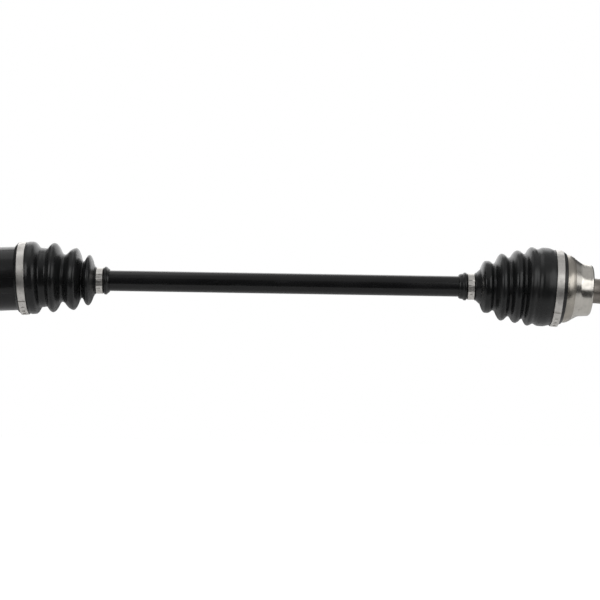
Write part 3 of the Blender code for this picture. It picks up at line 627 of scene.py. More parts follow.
def made_finish(name, colours):
    """The material of a recipe."""
    recipe = RECIPES[name]
    made, tree, shader = material(name, recipe["metallic"], **recipe.get("sockets", {}))
    colour = getattr(colours, recipe["colour"])
    outputs = {label: texture(tree, values) for label, values in recipe["textures"].items()}
    label, low, high = recipe["shades"]
    base = mixed(tree, outputs[label], scaled(colour, low), scaled(colour, high))
    if "spots" in recipe:
        label, factor = recipe["spots"]
        base = mixed(tree, outputs[label], base, scaled(colour, factor))
    tree.links.new(base, shader.inputs["Base Color"])
    label, low, high = recipe["roughness"]
    tree.links.new(ranged(tree, outputs[label], low, high), shader.inputs["Roughness"])
    bump(tree, shader, [(outputs[label], *bump_values) for label, *bump_values in recipe["bumps"]])
    return made


def finish(name):
    """The material of that name, made when it is first asked for."""
    made = bpy.data.materials.get(name)
    if made is None or "axle_finish" not in made:
        if made:
            made.name = name + "_cad"
        made = made_finish(name, bpy.context.scene.axle_finishes)
        made["axle_finish"] = True
    return made


def dressed(obj, *names):
    """Gives the object its finishes, in slot order."""
    obj.data.materials.clear()
    for name in names:
        obj.data.materials.append(finish(name))
    return obj


def placed(obj, body, slot, *nodes):
    """The object rides on a body and stands for CAD nodes. Its slot is not used."""
    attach(obj, body)
    if nodes:
        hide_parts(*nodes)
    return obj


# ---------------------------------------------------------------- splines and threads


def tooth_mesh(tip_r, depth, pitch, x0, x1):
    """One spline tooth along X, at angle 0, with chamfered ends. Its foot sinks into the core."""
    root = 0.27 * pitch
    tip = 0.17 * pitch
    foot_r = tip_r - depth - 0.0006
    sections = ((x0, 0.85), (x0 + depth, 0.0), (x1 - depth, 0.0), (x1, 0.85))
    rings = []
    for x, drop in sections:
        top = tip_r - drop * depth
        outline = [(foot_r, -root), (foot_r, root), (top - 0.3 * depth, tip * 1.25), (top, tip)]
        outline += [(top, -tip), (top - 0.3 * depth, -tip * 1.25)]
        rings.append([(x, *polar(r, a)) for r, a in outline])
    return tube_mesh("tooth", rings, x0)


def spline_mesh(teeth, tip_r, depth, x0, x1, material):
    step = 2 * math.pi / teeth
    return copies_mesh(tooth_mesh(tip_r, depth, step, x0, x1), teeth, step, 0.0, material)


def thread_mesh(tip_r, pitch, x0, x1, steps=40):
    """A thread's ridge along X. It rises from the core over its first half turn and sinks over its last."""
    depth = 0.6 * pitch
    turns = (x1 - x0) / pitch
    rings = []
    count = round(turns * steps)
    for i in range(count + 1):
        turn = i / steps
        fade = min(1.0, 2 * turn, 2 * (turns - turn))
        x = x0 + turn * pitch
        crest = tip_r - depth * (1 - max(0.0, fade))
        section = [(-0.46 * pitch, tip_r - 1.25 * depth), (-0.08 * pitch, crest)]
        section += [(0.08 * pitch, crest), (0.46 * pitch, tip_r - 1.25 * depth)]
        rings.append([(x + u, *polar(r, 2 * math.pi * turn)) for u, r in section])
    return tube_mesh("thread", rings, x0)


# ---------------------------------------------------------------- boots


OUTER_FOLDS = (
    (-0.0975, 0.080), (-0.0948, 0.125), (-0.0866, 0.545), (-0.0834, 0.550), (-0.0770, 0.445),
    (-0.0668, 0.845), (-0.0586, 0.680), (-0.0490, 0.957), (-0.0408, 0.810), (-0.0330, 1.079),
    (-0.0262, 1.000), (-0.0190, 1.079), (-0.0150, 1.079), (-0.0058, 1.020),
)
INNER_FOLDS = (
    (0.0332, 1.022), (0.0374, 1.046), (0.0404, 1.041), (0.0496, 0.755), (0.0550, 0.735), (0.0636, 0.975),
    (0.0754, 0.500), (0.0892, 0.814), (0.0986, 0.265), (0.1058, 0.565), (0.1138, 0.095), (0.1150, 0.090),
)
VALLEY_ROUNDING = 0.34  # shares of a fold's flank
PEAK_ROUNDING = 0.62
RING_SPACING = 0.00055  # along the bellows
# Where each boot is cut into sections, and the bodies listed along each boot, which the sections are not tied
# to
OUTER_CUTS = (-0.0925, -0.0710, -0.0480, -0.0260, -0.0128)
OUTER_CHAIN = ("bar", "upright_balls", "cage", "outer_boot_body", "outer_joint")
INNER_CUTS = (0.0340, 0.0585, 0.0925)
INNER_CHAIN = ("inner_joint", "inner_boot_body", "bar")


def ease(t, start, end):
    """From 0 to 1 with a straight middle: the start and end shares are rounded."""
    slope = 1 / (1 - start / 2 - end / 2)
    if t < start:
        return slope * t * t / (2 * start)
    if t > 1 - end:
        return 1 - slope * (1 - t) ** 2 / (2 * end)
    return slope * (t - start / 2)


def fold_radius(x, folds, neck_r, cuff_r):
    """The bellows' outside radius at x. Peaks are rounder than valleys."""
    if x <= folds[0][0]:
        share = folds[0][1]
    elif x >= folds[-1][0]:
        share = folds[-1][1]
    else:
        i = next(n for n in range(len(folds) - 1) if x <= folds[n + 1][0])
        (x0, s0), (x1, s1) = folds[i], folds[i + 1]
        rounds = (VALLEY_ROUNDING, PEAK_ROUNDING) if s1 > s0 else (PEAK_ROUNDING, VALLEY_ROUNDING)
        share = s0 + (s1 - s0) * ease((x - x0) / (x1 - x0), *rounds)
    return neck_r + share * (cuff_r - neck_r)


def drooped(mesh, *droop):
    """Bends a boot's mesh with its housing."""
    for vertex in mesh.vertices:
        centre, turn = droop_ring(vertex.co.x, *droop)
        vertex.co = centre + turn @ Vector((0.0, vertex.co.y, vertex.co.z))


def droop_ring(x, angle, neck_x, cuff_x, lean):
    """Where a boot's ring hangs: square to the bar at the neck, with the housing at the cuff, and leaning
    back between them, where the folds carry the offset."""
    t = min(1.0, max(0.0, (x - neck_x) / (cuff_x - neck_x)))
    share = angle * t * t * (3 - 2 * t)
    centre = Matrix.Rotation(share, 3, "Y") @ Vector((x, 0.0, 0.0))
    return centre, Matrix.Rotation(share + lean * 4 * t * (1 - t), 3, "Y")


def boot_piece(name, outside, inside, seam, droop, centre):
    """One closed ring of a boot, with the mould's two seam lines, bent and moved to its joint."""
    steps = 120
    mesh = turned_mesh(name, outside + inside, steps, closed=True)
    count = len(outside)
    for index, vertex in enumerate(mesh.vertices):
        ring, k = divmod(index, steps)
        if ring < count and k in (steps // 4, 3 * steps // 4):
            r = math.hypot(vertex.co.y, vertex.co.z)
            vertex.co.y *= 1 + seam / r
            vertex.co.z *= 1 + seam / r
    drooped(mesh, *droop)
    mesh.transform(Matrix.Translation(centre))
    shade(mesh, 40)
    return dressed(link(name, mesh), "boot_rubber")


def bellows_lines(x0, x1, folds, neck_r, cuff_r, wall):
    """The outside of a stretch of bellows with x growing, and its inside back."""
    count = max(6, round((x1 - x0) / RING_SPACING))
    xs = [x0 + (x1 - x0) * i / count for i in range(count + 1)]
    outside = [(x, fold_radius(x, folds, neck_r, cuff_r)) for x in xs]
    inside = [(x, r - wall) for x, r in reversed(outside)]
    return outside, inside


def bellows(name, cuts, chain, folds, neck_r, cuff_r, wall, seam, droop, centre):
    """The bellows' sections, each a piece of its own, bent with the boot and baked in place. The chain of
    bodies is not used.
    """
    inset = 0.0005
    for number, (x0, x1) in enumerate(zip(cuts, cuts[1:])):
        outside, inside = bellows_lines(x0, x1, folds, neck_r, cuff_r, wall)
        piece = boot_piece(f"{name}_folds_{number + 1}", outside, inside, seam, droop, centre)
        ends = [Vector((x, 0, 0)) for x in (x0 + inset, x1 - inset)]
        ends = [centre + droop_ring(end.x, *droop)[0] for end in ends]
        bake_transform(piece)


def neck_line(x_end, x_seat, width, neck_r, direction):
    """The outside of a boot's neck: its free end, the ridges on both sides of the clamp, and the seat."""
    half = width / 2 + GAP
    lip = neck_r + 0.0019

    def at(distance):
        return x_seat - distance * direction

    points = [
        (x_end, BAR_R + GAP, 0.0), (x_end, neck_r - 0.0009, 0.0006),
        (x_end + 0.0016 * direction, neck_r, 0.0008),
        (at(half + 0.0052), neck_r + 0.0004, 0.0008), (at(half + 0.0040), lip, 0.0008),
        (at(half + 0.0014), lip, 0.0009), (at(half + 0.0003), neck_r, 0.0004), (at(-half), neck_r, 0.0004),
        (at(-half - 0.0010), lip, 0.0005), (at(-half - 0.0019), lip - 0.0002, 0.0),
    ]
    return rounded(points, 4)


class MakeOuterBoot(bpy.types.Operator):
    """Make the outer boot in sections, bent to follow the outer housing's tilt."""

    bl_idname = "axle.make_outer_boot"
    bl_label = "Make Outer Boot"

    def execute(self, context):
        sizes = context.scene.axle_boots
        bell = context.scene.axle_bell
        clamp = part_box("outer_boot_small_clamp")
        seat_x = (clamp[0].x + clamp[1].x) / 2 - OUTER_CENTRE.x
        width = clamp[1].x - clamp[0].x
        neck_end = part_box("outer_boot")[0].x - OUTER_CENTRE.x
        tilt = OUTER_AXIS.to_euler().y
        droop = (tilt, -0.066, bell.mouth_x - 0.0001, 0.0)
        shape = (OUTER_FOLDS, sizes.neck_radius, sizes.outer_cuff_radius)
        outside = neck_line(neck_end, seat_x, width, sizes.neck_radius, 1)
        outside += [(OUTER_CUTS[0], fold_radius(OUTER_CUTS[0], *shape))]
        inside = [(OUTER_CUTS[0], outside[-1][1] - sizes.wall), (seat_x + width / 2, BAR_R + GAP)]
        neck = boot_piece("outer_boot_neck", outside, inside, sizes.seam, droop, OUTER_CENTRE)
        placed(neck, "bar", "boot_rubber", "outer_boot")
        bellows("outer_boot", OUTER_CUTS, OUTER_CHAIN, *shape, sizes.wall, sizes.seam, droop, OUTER_CENTRE)

        large_x = middle_x("outer_boot_large_clamp", OUTER_AXIS)
        half = context.scene.axle_clamps.large_width / 2 + 0.0004
        back_x = large_x - half
        front_x = large_x + half
        seat_r = sizes.outer_cuff_radius
        start_r = fold_radius(OUTER_CUTS[-1], *shape)
        outside, inside = bellows_lines(OUTER_CUTS[-1], back_x - 0.0010, *shape, sizes.wall)
        under = bell.seat_radius + GAP
        outside += rounded([
            (back_x - 0.0008, outside[-1][1], 0.0), (back_x, seat_r, 0.0003),
            (front_x, seat_r, 0.0002), (front_x + 0.0005, seat_r - 0.0008, 0.0003),
            (front_x + 0.0040, under + 0.0012, 0.0012), (front_x + 0.0044, under, 0.0),
        ], 4)
        lip_r = under + 0.001
        inside = [(bell.mouth_x + 0.005, under), (bell.mouth_x + 0.0043, lip_r), (OUTER_CUTS[-1], lip_r)]
        inside += [(OUTER_CUTS[-1], start_r - sizes.wall)]
        cuff = boot_piece("outer_boot_cuff", outside, inside, 0.0, droop, OUTER_CENTRE)
        placed(cuff, "outer_joint", "boot_rubber")
        return {"FINISHED"}


class MakeInnerBoot(bpy.types.Operator):
    """Make the inner boot in sections, bent to follow the inner housing's tilt."""

    bl_idname = "axle.make_inner_boot"
    bl_label = "Make Inner Boot"

    def execute(self, context):
        sizes = context.scene.axle_boots
        tulip = context.scene.axle_tulip
        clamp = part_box("inner_boot_small_clamp")
        seat_x = (clamp[0].x + clamp[1].x) / 2 - INNER_CENTRE.x
        width = clamp[1].x - clamp[0].x
        neck_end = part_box("inner_boot")[1].x - INNER_CENTRE.x
        tilt = INNER_AXIS.to_euler().y
        droop = (tilt, seat_x - width / 2 - 0.001, tulip.mouth_x + 0.001, math.radians(3.3))
        shape = (INNER_FOLDS, sizes.neck_radius, sizes.inner_cuff_radius)
        start_x = seat_x - width / 2 - 0.0030
        lines = bellows_lines(INNER_CUTS[-1], start_x, *shape, sizes.wall)
        neck_outside = lines[0] + neck_line(neck_end, seat_x, width, sizes.neck_radius, -1)[::-1]
        inside = [(seat_x - width / 2, BAR_R + GAP)] + [p for p in lines[1] if p[1] > BAR_R + 0.0012]
        neck = boot_piece("inner_boot_neck", neck_outside, inside, sizes.seam, droop, INNER_CENTRE)
        placed(neck, "bar", "boot_rubber", "inner_boot")
        bellows("inner_boot", INNER_CUTS, INNER_CHAIN, *shape, sizes.wall, sizes.seam, droop, INNER_CENTRE)

        large_x = middle_x("inner_boot_large_clamp", INNER_AXIS)
        half = context.scene.axle_clamps.large_width / 2 + 0.0004
        back_x = large_x - half
        front_x = large_x + half
        seat_r = sizes.inner_cuff_radius
        under = TULIP_R + GAP
        start_r = fold_radius(INNER_CUTS[0], *shape)
        outside = rounded([
            (back_x - 0.0038, under, 0.0), (back_x - 0.0035, under + 0.0014, 0.0008),
            (back_x - 0.0013, seat_r - 0.0004, 0.0007), (back_x - 0.0006, seat_r + 0.0006, 0.0004),
            (back_x, seat_r, 0.0003), (front_x, seat_r, 0.0003),
            (front_x + 0.0006, seat_r + 0.0008, 0.0003), (INNER_CUTS[0], start_r, 0.0),
        ], 4)
        inside = [(INNER_CUTS[0], start_r - sizes.wall), (front_x, under)]
        cuff = boot_piece("inner_boot_cuff", outside, inside, 0.0, droop, INNER_CENTRE)
        placed(cuff, "inner_joint", "boot_rubber")
        return {"FINISHED"}


# ---------------------------------------------------------------- clamps


def strap_mesh(name, seat_r, x, width, sizes, under, lap, crimps):
    """A band that goes once round and lies over itself for the lap. Its inner end is at the under angle, it
    runs towards smaller angles, and the crimps are ridges pressed across the lap."""
    thick = sizes.thickness
    edge = sizes.edge
    half = width / 2
    turn = 2 * math.pi + lap
    ramp = math.radians(9)
    count = 420
    low = seat_r + GAP / 3
    across = [-half, -half + edge, -0.5 * half, 0.0, 0.5 * half, half - edge, half]
    drops = [edge, 0.0, 0.0, 0.0, 0.0, 0.0, edge]
    rings = []
    for i in range(count + 1):
        angle = under - turn * i / count
        travelled = turn * i / count
        climb = min(1.0, max(0.0, (travelled - (2 * math.pi - ramp)) / ramp))
        lift = climb * climb * (3 - 2 * climb) * (thick + 0.00006)
        crimp = 0.0
        if travelled > 2 * math.pi:
            crimp = max(math.exp(-(((angle + 2 * math.pi - c) * seat_r / 0.0011) ** 2)) for c in crimps)
        ring = []
        for u, drop in zip(across, drops):
            rise = sizes.crimp_height * crimp * (0.35 + 0.65 * (1 - (u / half) ** 2))
            ring.append((x + u, *polar(low + lift + rise + thick - drop, angle)))
        for u in reversed(across):
            ring.append((x + u, *polar(low + lift, angle)))
        rings.append(ring)
    return tube_mesh(name, rings, x - half)


def hook_mesh(radius, x, across, along, height):
    """A small rounded tab that stands on a band at angle 0."""
    bm = bmesh.new()
    uv = bm.loops.layers.uv.new("turned")
    bmesh.ops.create_cube(bm, size=1.0)
    bmesh.ops.scale(bm, vec=(across, height, along), verts=bm.verts)
    bmesh.ops.bevel(bm, geom=bm.edges, offset=0.3 * height, segments=2, affect="EDGES")
    bmesh.ops.translate(bm, vec=(x, radius, 0.0), verts=bm.verts)
    for face in bm.faces:
        for loop in face.loops:
            loop[uv].uv = (0.0, loop.vert.co.x - x + across)
    return made_mesh("hook", bm, outward=False)


def make_clamp(node, place, body, seat_r, width, under, lap, crimps, hooks):
    """A boot clamp: the strap, and the hooks between its crimps. Hooks are (first angle, step, count)."""
    sizes = bpy.context.scene.axle_clamps
    x = middle_x(node, place)
    steel = finish("band_steel")
    strap = strap_mesh(node, seat_r, x, width, sizes, under, lap, crimps)
    top = seat_r + GAP / 3 + 2 * sizes.thickness
    first, step, count = hooks
    hook = hook_mesh(top + 0.0002, x, 0.44 * width, 0.0016, 0.0008)
    hooks = copies_mesh(hook, count, step, first, steel)
    name = node.replace("boot_", "") + "_band"
    piece = dressed(joined(name, [strap, hooks], place), "band_steel")
    placed(piece, body, "band_steel", node)


class MakeClamps(bpy.types.Operator):
    """Make the four boot clamps, with their laps, crimps and hooks."""

    bl_idname = "axle.make_clamps"
    bl_label = "Make Clamps"

    def execute(self, context):
        boots = context.scene.axle_boots
        sizes = context.scene.axle_clamps
        turn = math.radians
        large_crimps = [turn(a) for a in (228.5, 239.5, 250.5, 261.5)]
        small_crimps = [turn(a) for a in (152, 176, 203, 231)]
        large = (sizes.large_width, turn(268), turn(47), large_crimps, (turn(234), turn(11), 3))
        small = (sizes.small_width, turn(252), turn(122), small_crimps, (turn(164), turn(26.5), 3))
        bar_outer = Matrix.Translation(OUTER_CENTRE)
        bar_inner = Matrix.Translation(INNER_CENTRE)
        make_clamp("outer_boot_large_clamp", OUTER_AXIS, "outer_joint", boots.outer_cuff_radius, *large)
        make_clamp("inner_boot_large_clamp", INNER_AXIS, "inner_joint", boots.inner_cuff_radius, *large)
        make_clamp("outer_boot_small_clamp", bar_outer, "bar", boots.neck_radius, *small)
        make_clamp("inner_boot_small_clamp", bar_inner, "bar", boots.neck_radius, *small)
        return {"FINISHED"}


# ---------------------------------------------------------------- housings and bar


def swept_track(name, radius, pitch_r, side, azimuth, start, end):
    """The space that a ball sweeps round the joint centre, as a cutter."""
    half = arc(radius, -math.pi / 2, math.pi / 2, 13)
    section = [(pitch_r + u, v + side) for v, u in half] + [(pitch_r - u, -v - side) for v, u in half]
    steps = 28
    rings = []
    for i in range(steps + 1):
        angle = start + (end - start) * i / steps
        rings.append([(r * math.sin(angle), r * math.cos(angle), z) for r, z in section])
    mesh = tube_mesh(name, rings)
    mesh.transform(Matrix.Rotation(azimuth, 4, "X"))
    return mesh


def paint_by_x(obj, place, limits):
    """Sets each face's slot by where it is along the axis: the limits are (up to x, slot)."""
    back = place.inverted()
    for polygon in obj.data.polygons:
        x = (back @ polygon.center).x
        polygon.material_index = next((slot for limit, slot in limits if x <= limit), limits[-1][1])


class MakeOuterHousing(bpy.types.Operator):
    """Make the outer joint's bell with its splined and threaded stub."""

    bl_idname = "axle.make_outer_housing"
    bl_label = "Make Outer Housing"

    def execute(self, context):
        sizes = context.scene.axle_bell
        lip = sizes.seat_radius + 0.001
        face_x = OUTER_FACE
        land_end = sizes.land_radius - 0.001
        spline_x = face_x + sizes.seat_length
        thread_x = spline_x + sizes.spline_length
        spline_r = sizes.stub_radius - 0.001
        core_r = spline_r - 0.0014
        sphere_x = 0.0255
        start = math.acos(sphere_x / sizes.sphere_radius)
        cavity_end = math.radians(108.6)
        points = arc(sizes.sphere_radius, start, cavity_end, 34)
        profile = [(sphere_x, 0.0)] + points
        profile += rounded([
            (*points[-1], 0.0), (sizes.mouth_x, 0.0345, 0.0006), (sizes.mouth_x, lip, 0.0007),
            (sizes.mouth_x + 0.004, lip, 0.0003), (sizes.mouth_x + 0.0045, sizes.seat_radius, 0.0003),
            (sizes.shoulder_x - 0.002, sizes.seat_radius, 0.0),
        ])[1:]
        dome_end = 0.031
        fall = sizes.seat_radius - sizes.land_radius
        for i in range(15):
            x = sizes.shoulder_x + (sizes.edge_x - sizes.shoulder_x) * i / 14
            t = (x - sizes.shoulder_x) / (dome_end - sizes.shoulder_x)
            profile.append((x, sizes.land_radius + fall * (1 + math.cos(math.pi * t)) / 2))
        edge_r = profile[-1][1]
        profile += rounded([
            (sizes.edge_x + 0.0001, edge_r - 0.0003, 0.0),
            (sizes.land_x - 0.0015, sizes.land_radius + 0.0006, 0.0022),
            (sizes.land_x + 0.0022, sizes.land_radius, 0.0020), (face_x - sizes.corner, land_end, 0.0008),
        ], 9)
        profile += arc(sizes.corner, math.pi / 2, 0.0, 10, face_x - sizes.corner, land_end - sizes.corner)
        profile += arc(0.002, math.pi, 1.5 * math.pi, 8, face_x + 0.002, sizes.stub_radius + 0.002)
        profile += rounded([
            (spline_x - 0.002, sizes.stub_radius, 0.0), (spline_x, sizes.stub_radius, 0.0004),
            (spline_x + 0.0013, core_r, 0.0006), (thread_x - 0.001, core_r, 0.0004),
            (thread_x, sizes.thread_radius - 0.0009, 0.0004),
            (OUTER_REACH - 0.0015, sizes.thread_radius - 0.0009, 0.0004),
            (OUTER_REACH, sizes.thread_radius - 0.0022, 0.0003), (OUTER_REACH, 0.003, 0.0003),
            (OUTER_REACH - 0.003, 0.0, 0.0),
        ], 4)
        bell = turned("outer_housing_bell", profile, Matrix.Identity(4), 144)
        ball_r = (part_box("ball_1")[1].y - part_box("ball_1")[0].y) / 2
        track_r = ball_r + 0.0005
        pitch_r = sizes.sphere_radius - 0.00305
        side = 0.00175
        ends = (-1.05, math.radians(40))
        cutters = [
            swept_track(f"track_{n}", track_r, pitch_r, side, math.pi / 2 + n * math.pi / 3, *ends)
            for n in range(6)
        ]
        boolean(bell, cutters, "DIFFERENCE")
        steel = finish("stub_steel")
        teeth = spline_mesh(sizes.teeth, spline_r, 0.001, spline_x - 0.0004, thread_x - 0.0025, steel)
        thread = thread_mesh(sizes.thread_radius, sizes.thread_pitch, thread_x + 0.001, OUTER_REACH - 0.0014)
        piece = joined("outer_housing_body", [bell.data, teeth, thread], OUTER_AXIS)
        bpy.data.objects.remove(bell)
        dressed(piece, "turned_steel", "forged_steel", "stub_steel")
        limits = [(sizes.mouth_x + 0.004, 0), (sizes.edge_x + 0.00005, 1), (face_x + 0.0005, 0), (1.0, 2)]
        paint_by_x(piece, OUTER_AXIS, limits)
        placed(piece, "outer_joint", "machined_steel", "outer_housing")
        return {"FINISHED"}


def tulip_outline(sizes):
    """The section of the tulip's cavity: three flat-sided roller tracks round a central bore."""
    top = math.asin(sizes.track_half / sizes.track_radius)
    foot = min(math.asin(sizes.track_half / sizes.bore_radius), math.pi / 3 - 0.02)
    points = []
    for number in range(3):
        middle = 2 * math.pi * number / 3
        points.append(polar(sizes.bore_radius, middle - foot))
        points += arc(sizes.track_radius, middle - top, middle + top, 25)
        points.append(polar(sizes.bore_radius, middle + foot))
    return points


class MakeInnerHousing(bpy.types.Operator):
    """Make the inner joint's tulip housing with its boss, seal seat and splined stub."""

    bl_idname = "axle.make_inner_housing"
    bl_label = "Make Inner Housing"

    def execute(self, context):
        sizes = context.scene.axle_tulip
        spline_r = sizes.spline_radius
        root_r = spline_r - 0.001
        seal_x = INNER_FACE - sizes.seal_length
        clip_x = INNER_REACH + 0.006
        profile = rounded([
            (INNER_REACH + 0.003, 0.0, 0.0), (INNER_REACH, 0.003, 0.0003),
            (INNER_REACH, root_r - 0.0015, 0.0004),
            (INNER_REACH + 0.0015, root_r, 0.0004), (clip_x, root_r, 0.0), (clip_x, root_r - 0.0008, 0.0),
            (clip_x + 0.0022, root_r - 0.0008, 0.0), (clip_x + 0.0022, root_r, 0.0), (seal_x, root_r, 0.0005),
            (seal_x, sizes.seal_radius - 0.001, 0.0003), (seal_x + 0.001, sizes.seal_radius, 0.0004),
            (INNER_FACE, sizes.seal_radius, 0.0005), (INNER_FACE, sizes.boss_radius - 0.001, 0.0004),
            (INNER_FACE + 0.001, sizes.boss_radius, 0.0004), (sizes.end_x, sizes.boss_radius, 0.0030),
            (sizes.end_x, TULIP_R, 0.0050), (sizes.mouth_x - 0.001, TULIP_R, 0.0004),
            (sizes.mouth_x, TULIP_R - 0.001, 0.0004), (sizes.mouth_x, 0.0, 0.0),
        ], 6)
        housing = turned("inner_housing_blank", profile, Matrix.Identity(4), 144)
        cavity = extruded_mesh("cavity", tulip_outline(sizes), sizes.back_x, sizes.mouth_x + 0.002)
        bend = math.radians(18)
        plunge = 0.013
        slope = math.tan(bend)
        mouth_r = (BAR_R + 0.0006) / math.cos(bend) + slope * (sizes.mouth_x + plunge)
        start_x = sizes.mouth_x - (mouth_r - sizes.bore_radius) / slope
        slot_x, slot_end = sizes.mouth_x - 0.0029, sizes.mouth_x - 0.0009
        ring_out = mouth_r - slope * 0.0012 + 0.0037 + GAP

        def cone(x):
            return sizes.bore_radius + slope * (x - start_x)

        end_x = sizes.mouth_x + 0.002
        flare = turned_mesh("flare", [
            (start_x, 0.0), (start_x, sizes.bore_radius), (slot_x, cone(slot_x)), (slot_x, ring_out),
            (slot_end, ring_out), (slot_end, cone(slot_end)), (end_x, cone(end_x)), (end_x, 0.0),
        ], 96)
        boolean(housing, [cavity, flare], "DIFFERENCE")
        steel = finish("hardened_steel")
        step_x = clip_x + 0.0025
        teeth = spline_mesh(context.scene.axle_bell.teeth, spline_r, 0.001, step_x, seal_x + 0.0004, steel)
        piece = joined("inner_housing_body", [housing.data, teeth], INNER_AXIS)
        bpy.data.objects.remove(housing)
        dressed(piece, "turned_steel", "black_paint")
        paint_by_x(piece, INNER_AXIS, [(INNER_FACE + 0.0005, 0), (1.0, 1)])
        placed(piece, "inner_joint", "black_paint", "inner_housing")
        return {"FINISHED"}


def groove(ring, root_r, floor_r):
    """Profile points of the groove that a ring's box sits in."""
    x0, x1 = ring[0].x - GAP, ring[1].x + GAP
    return [(x0, root_r, 0.0), (x0, floor_r, 0.0), (x1, floor_r, 0.0), (x1, root_r, 0.0)]


class MakeBar(bpy.types.Operator):
    """Make the painted bar with a bare splined end inside each joint."""

    bl_idname = "axle.make_bar"
    bl_label = "Make Bar"

    def execute(self, context):
        low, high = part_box("axle_bar")
        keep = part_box("spider_retaining_ring")
        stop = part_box("spider_stop_ring")
        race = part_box("inner_race_circlip")
        tip_r = BAR_R - 0.0006
        root_r = tip_r - 0.001
        floor_r = root_r - 0.0008
        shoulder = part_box("outer_inner_race")[0].x - 0.003
        inner_shoulder = stop[1].x + 0.003
        points = [
            (low.x, 0.0, 0.0), (low.x, root_r - 0.001, 0.0003), (low.x + 0.001, root_r, 0.0004),
            *groove(keep, root_r, floor_r), *groove(stop, root_r, floor_r), (inner_shoulder, root_r, 0.0006),
            (inner_shoulder + 0.002, BAR_R, 0.0008), (shoulder - 0.002, BAR_R, 0.0008),
            (shoulder, root_r, 0.0006), *groove(race, root_r, floor_r),
            (high.x - 0.001, root_r, 0.0004), (high.x, root_r - 0.001, 0.0003), (high.x, 0.0, 0.0),
        ]
        bar = turned_mesh("bar_core", rounded(points, 4), 128)
        steel = finish("hardened_steel")
        teeth = 16
        inner = spline_mesh(teeth, tip_r, 0.001, keep[1].x + GAP, stop[0].x - GAP, steel)
        outer = spline_mesh(teeth, tip_r, 0.001, shoulder, race[0].x - GAP, steel)
        piece = joined("bar_body", [bar, inner, outer], Matrix.Identity(4))
        dressed(piece, "hardened_steel", "black_paint")
        paint_by_x(piece, Matrix.Identity(4), [(inner_shoulder, 0), (shoulder, 1), (1.0, 0)])
        placed(piece, "bar", "black_paint", "axle_bar")
        return {"FINISHED"}


# ---------------------------------------------------------------- inner works


def ball_mesh(radius, x, y):
    bm = bmesh.new()
    bmesh.ops.create_icosphere(bm, subdivisions=5, radius=radius)
    bmesh.ops.translate(bm, vec=(x, y, 0.0), verts=bm.verts)
    return made_mesh("ball", bm, outward=False)


class MakeInnerWorks(bpy.types.Operator):
    """Make the balls, rollers and needles, and give the other works their finishes."""

    bl_idname = "axle.make_inner_works"
    bl_label = "Make Inner Works"

    def execute(self, context):
        steel = finish("hardened_steel")
        low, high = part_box("ball_1")
        radius = (high.x - low.x) / 2
        middle = (low + high) / 2 - OUTER_CENTRE
        cage_place = Matrix.Translation(OUTER_CENTRE) @ Matrix.Rotation(OUTER_AXIS.to_euler().y / 2, 4, "Y")
        for number in range(6):
            body = "upright_balls" if number in (0, 3) else "cage"
            angle = math.pi / 2 + number * math.pi / 3
            mesh = copies_mesh(ball_mesh(radius, 0.0, middle.length), 1, 0.0, angle, steel)
            piece = dressed(joined(f"ball_{number + 1}_ground", [mesh], cage_place), "hardened_steel")
            placed(piece, body, "hardened_steel", f"ball_{number + 1}")
        for number in (1, 2, 3):
            self.make_roller(number)
        for name, node in frame["nodes"].items():
            if not node.hide_render:
                spring = "ring" in name or "circlip" in name
                node.data.materials.clear()
                node.data.materials.append(finish("spring_steel" if spring else "hardened_steel"))
                shade(node.data, 30)
        return {"FINISHED"}

    def make_roller(self, number):
        """A barrel roller with its needles, along the axis of its trunnion."""
        leg = Matrix.Rotation(2 * math.pi * (number - 1) / 3, 4, "X")
        across = leg @ Matrix.Rotation(math.pi / 2, 4, "Z")
        place = Matrix.Translation(INNER_CENTRE) @ across
        low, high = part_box("trunnion_roller_1")
        x0, x1 = low.y, high.y
        outer_r = (high.x - low.x) / 2
        half = (x1 - x0) / 2
        tilt = math.asin(half / outer_r)
        rim = arc(outer_r, math.pi / 2 + tilt, math.pi / 2 - tilt, 17, (x0 + x1) / 2)
        bore = 0.013
        profile = rim + [(x1, bore + 0.0004), (x1 - 0.0004, bore), (x0 + 0.0004, bore), (x0, bore + 0.0004)]
        roller = dressed(turned(f"roller_{number}_barrel", profile, place, 96, closed=True), "hardened_steel")
        placed(roller, f"roller_{number}", "hardened_steel", f"trunnion_roller_{number}")
        radius = 0.0009
        line = rounded([
            (x0 + GAP, 0.0, 0.0), (x0 + GAP, radius, 0.0002),
            (x1 - GAP, radius, 0.0002), (x1 - GAP, 0.0, 0.0),
        ], 3)
        needle = turned_mesh("needle", line, 12)
        needle_circle = 0.0118
        needles = 36
        needle.transform(Matrix.Translation((0.0, needle_circle, 0.0)))
        ring = copies_mesh(needle, needles, 2 * math.pi / needles, 0.0, finish("hardened_steel"))
        piece = dressed(joined(f"needles_{number}_set", [ring], place), "hardened_steel")
        placed(piece, f"needles_{number}", "hardened_steel", f"trunnion_needles_{number}")


# ---------------------------------------------------------------- stage


def soft_light(name, place, aim, size, power, tint=(1.0, 1.0, 1.0)):
    light = bpy.data.lights.new(name, "AREA")
    light.shape = "RECTANGLE"
    light.size, light.size_y = size
    light.energy = power
    light.color = tint
    obj = bpy.data.objects.new(name, light)
    bpy.context.scene.collection.objects.link(obj)
    obj.location = place
    obj.rotation_euler = (Vector(aim) - Vector(place)).to_track_quat("-Z", "Y").to_euler()
    obj.visible_camera = False


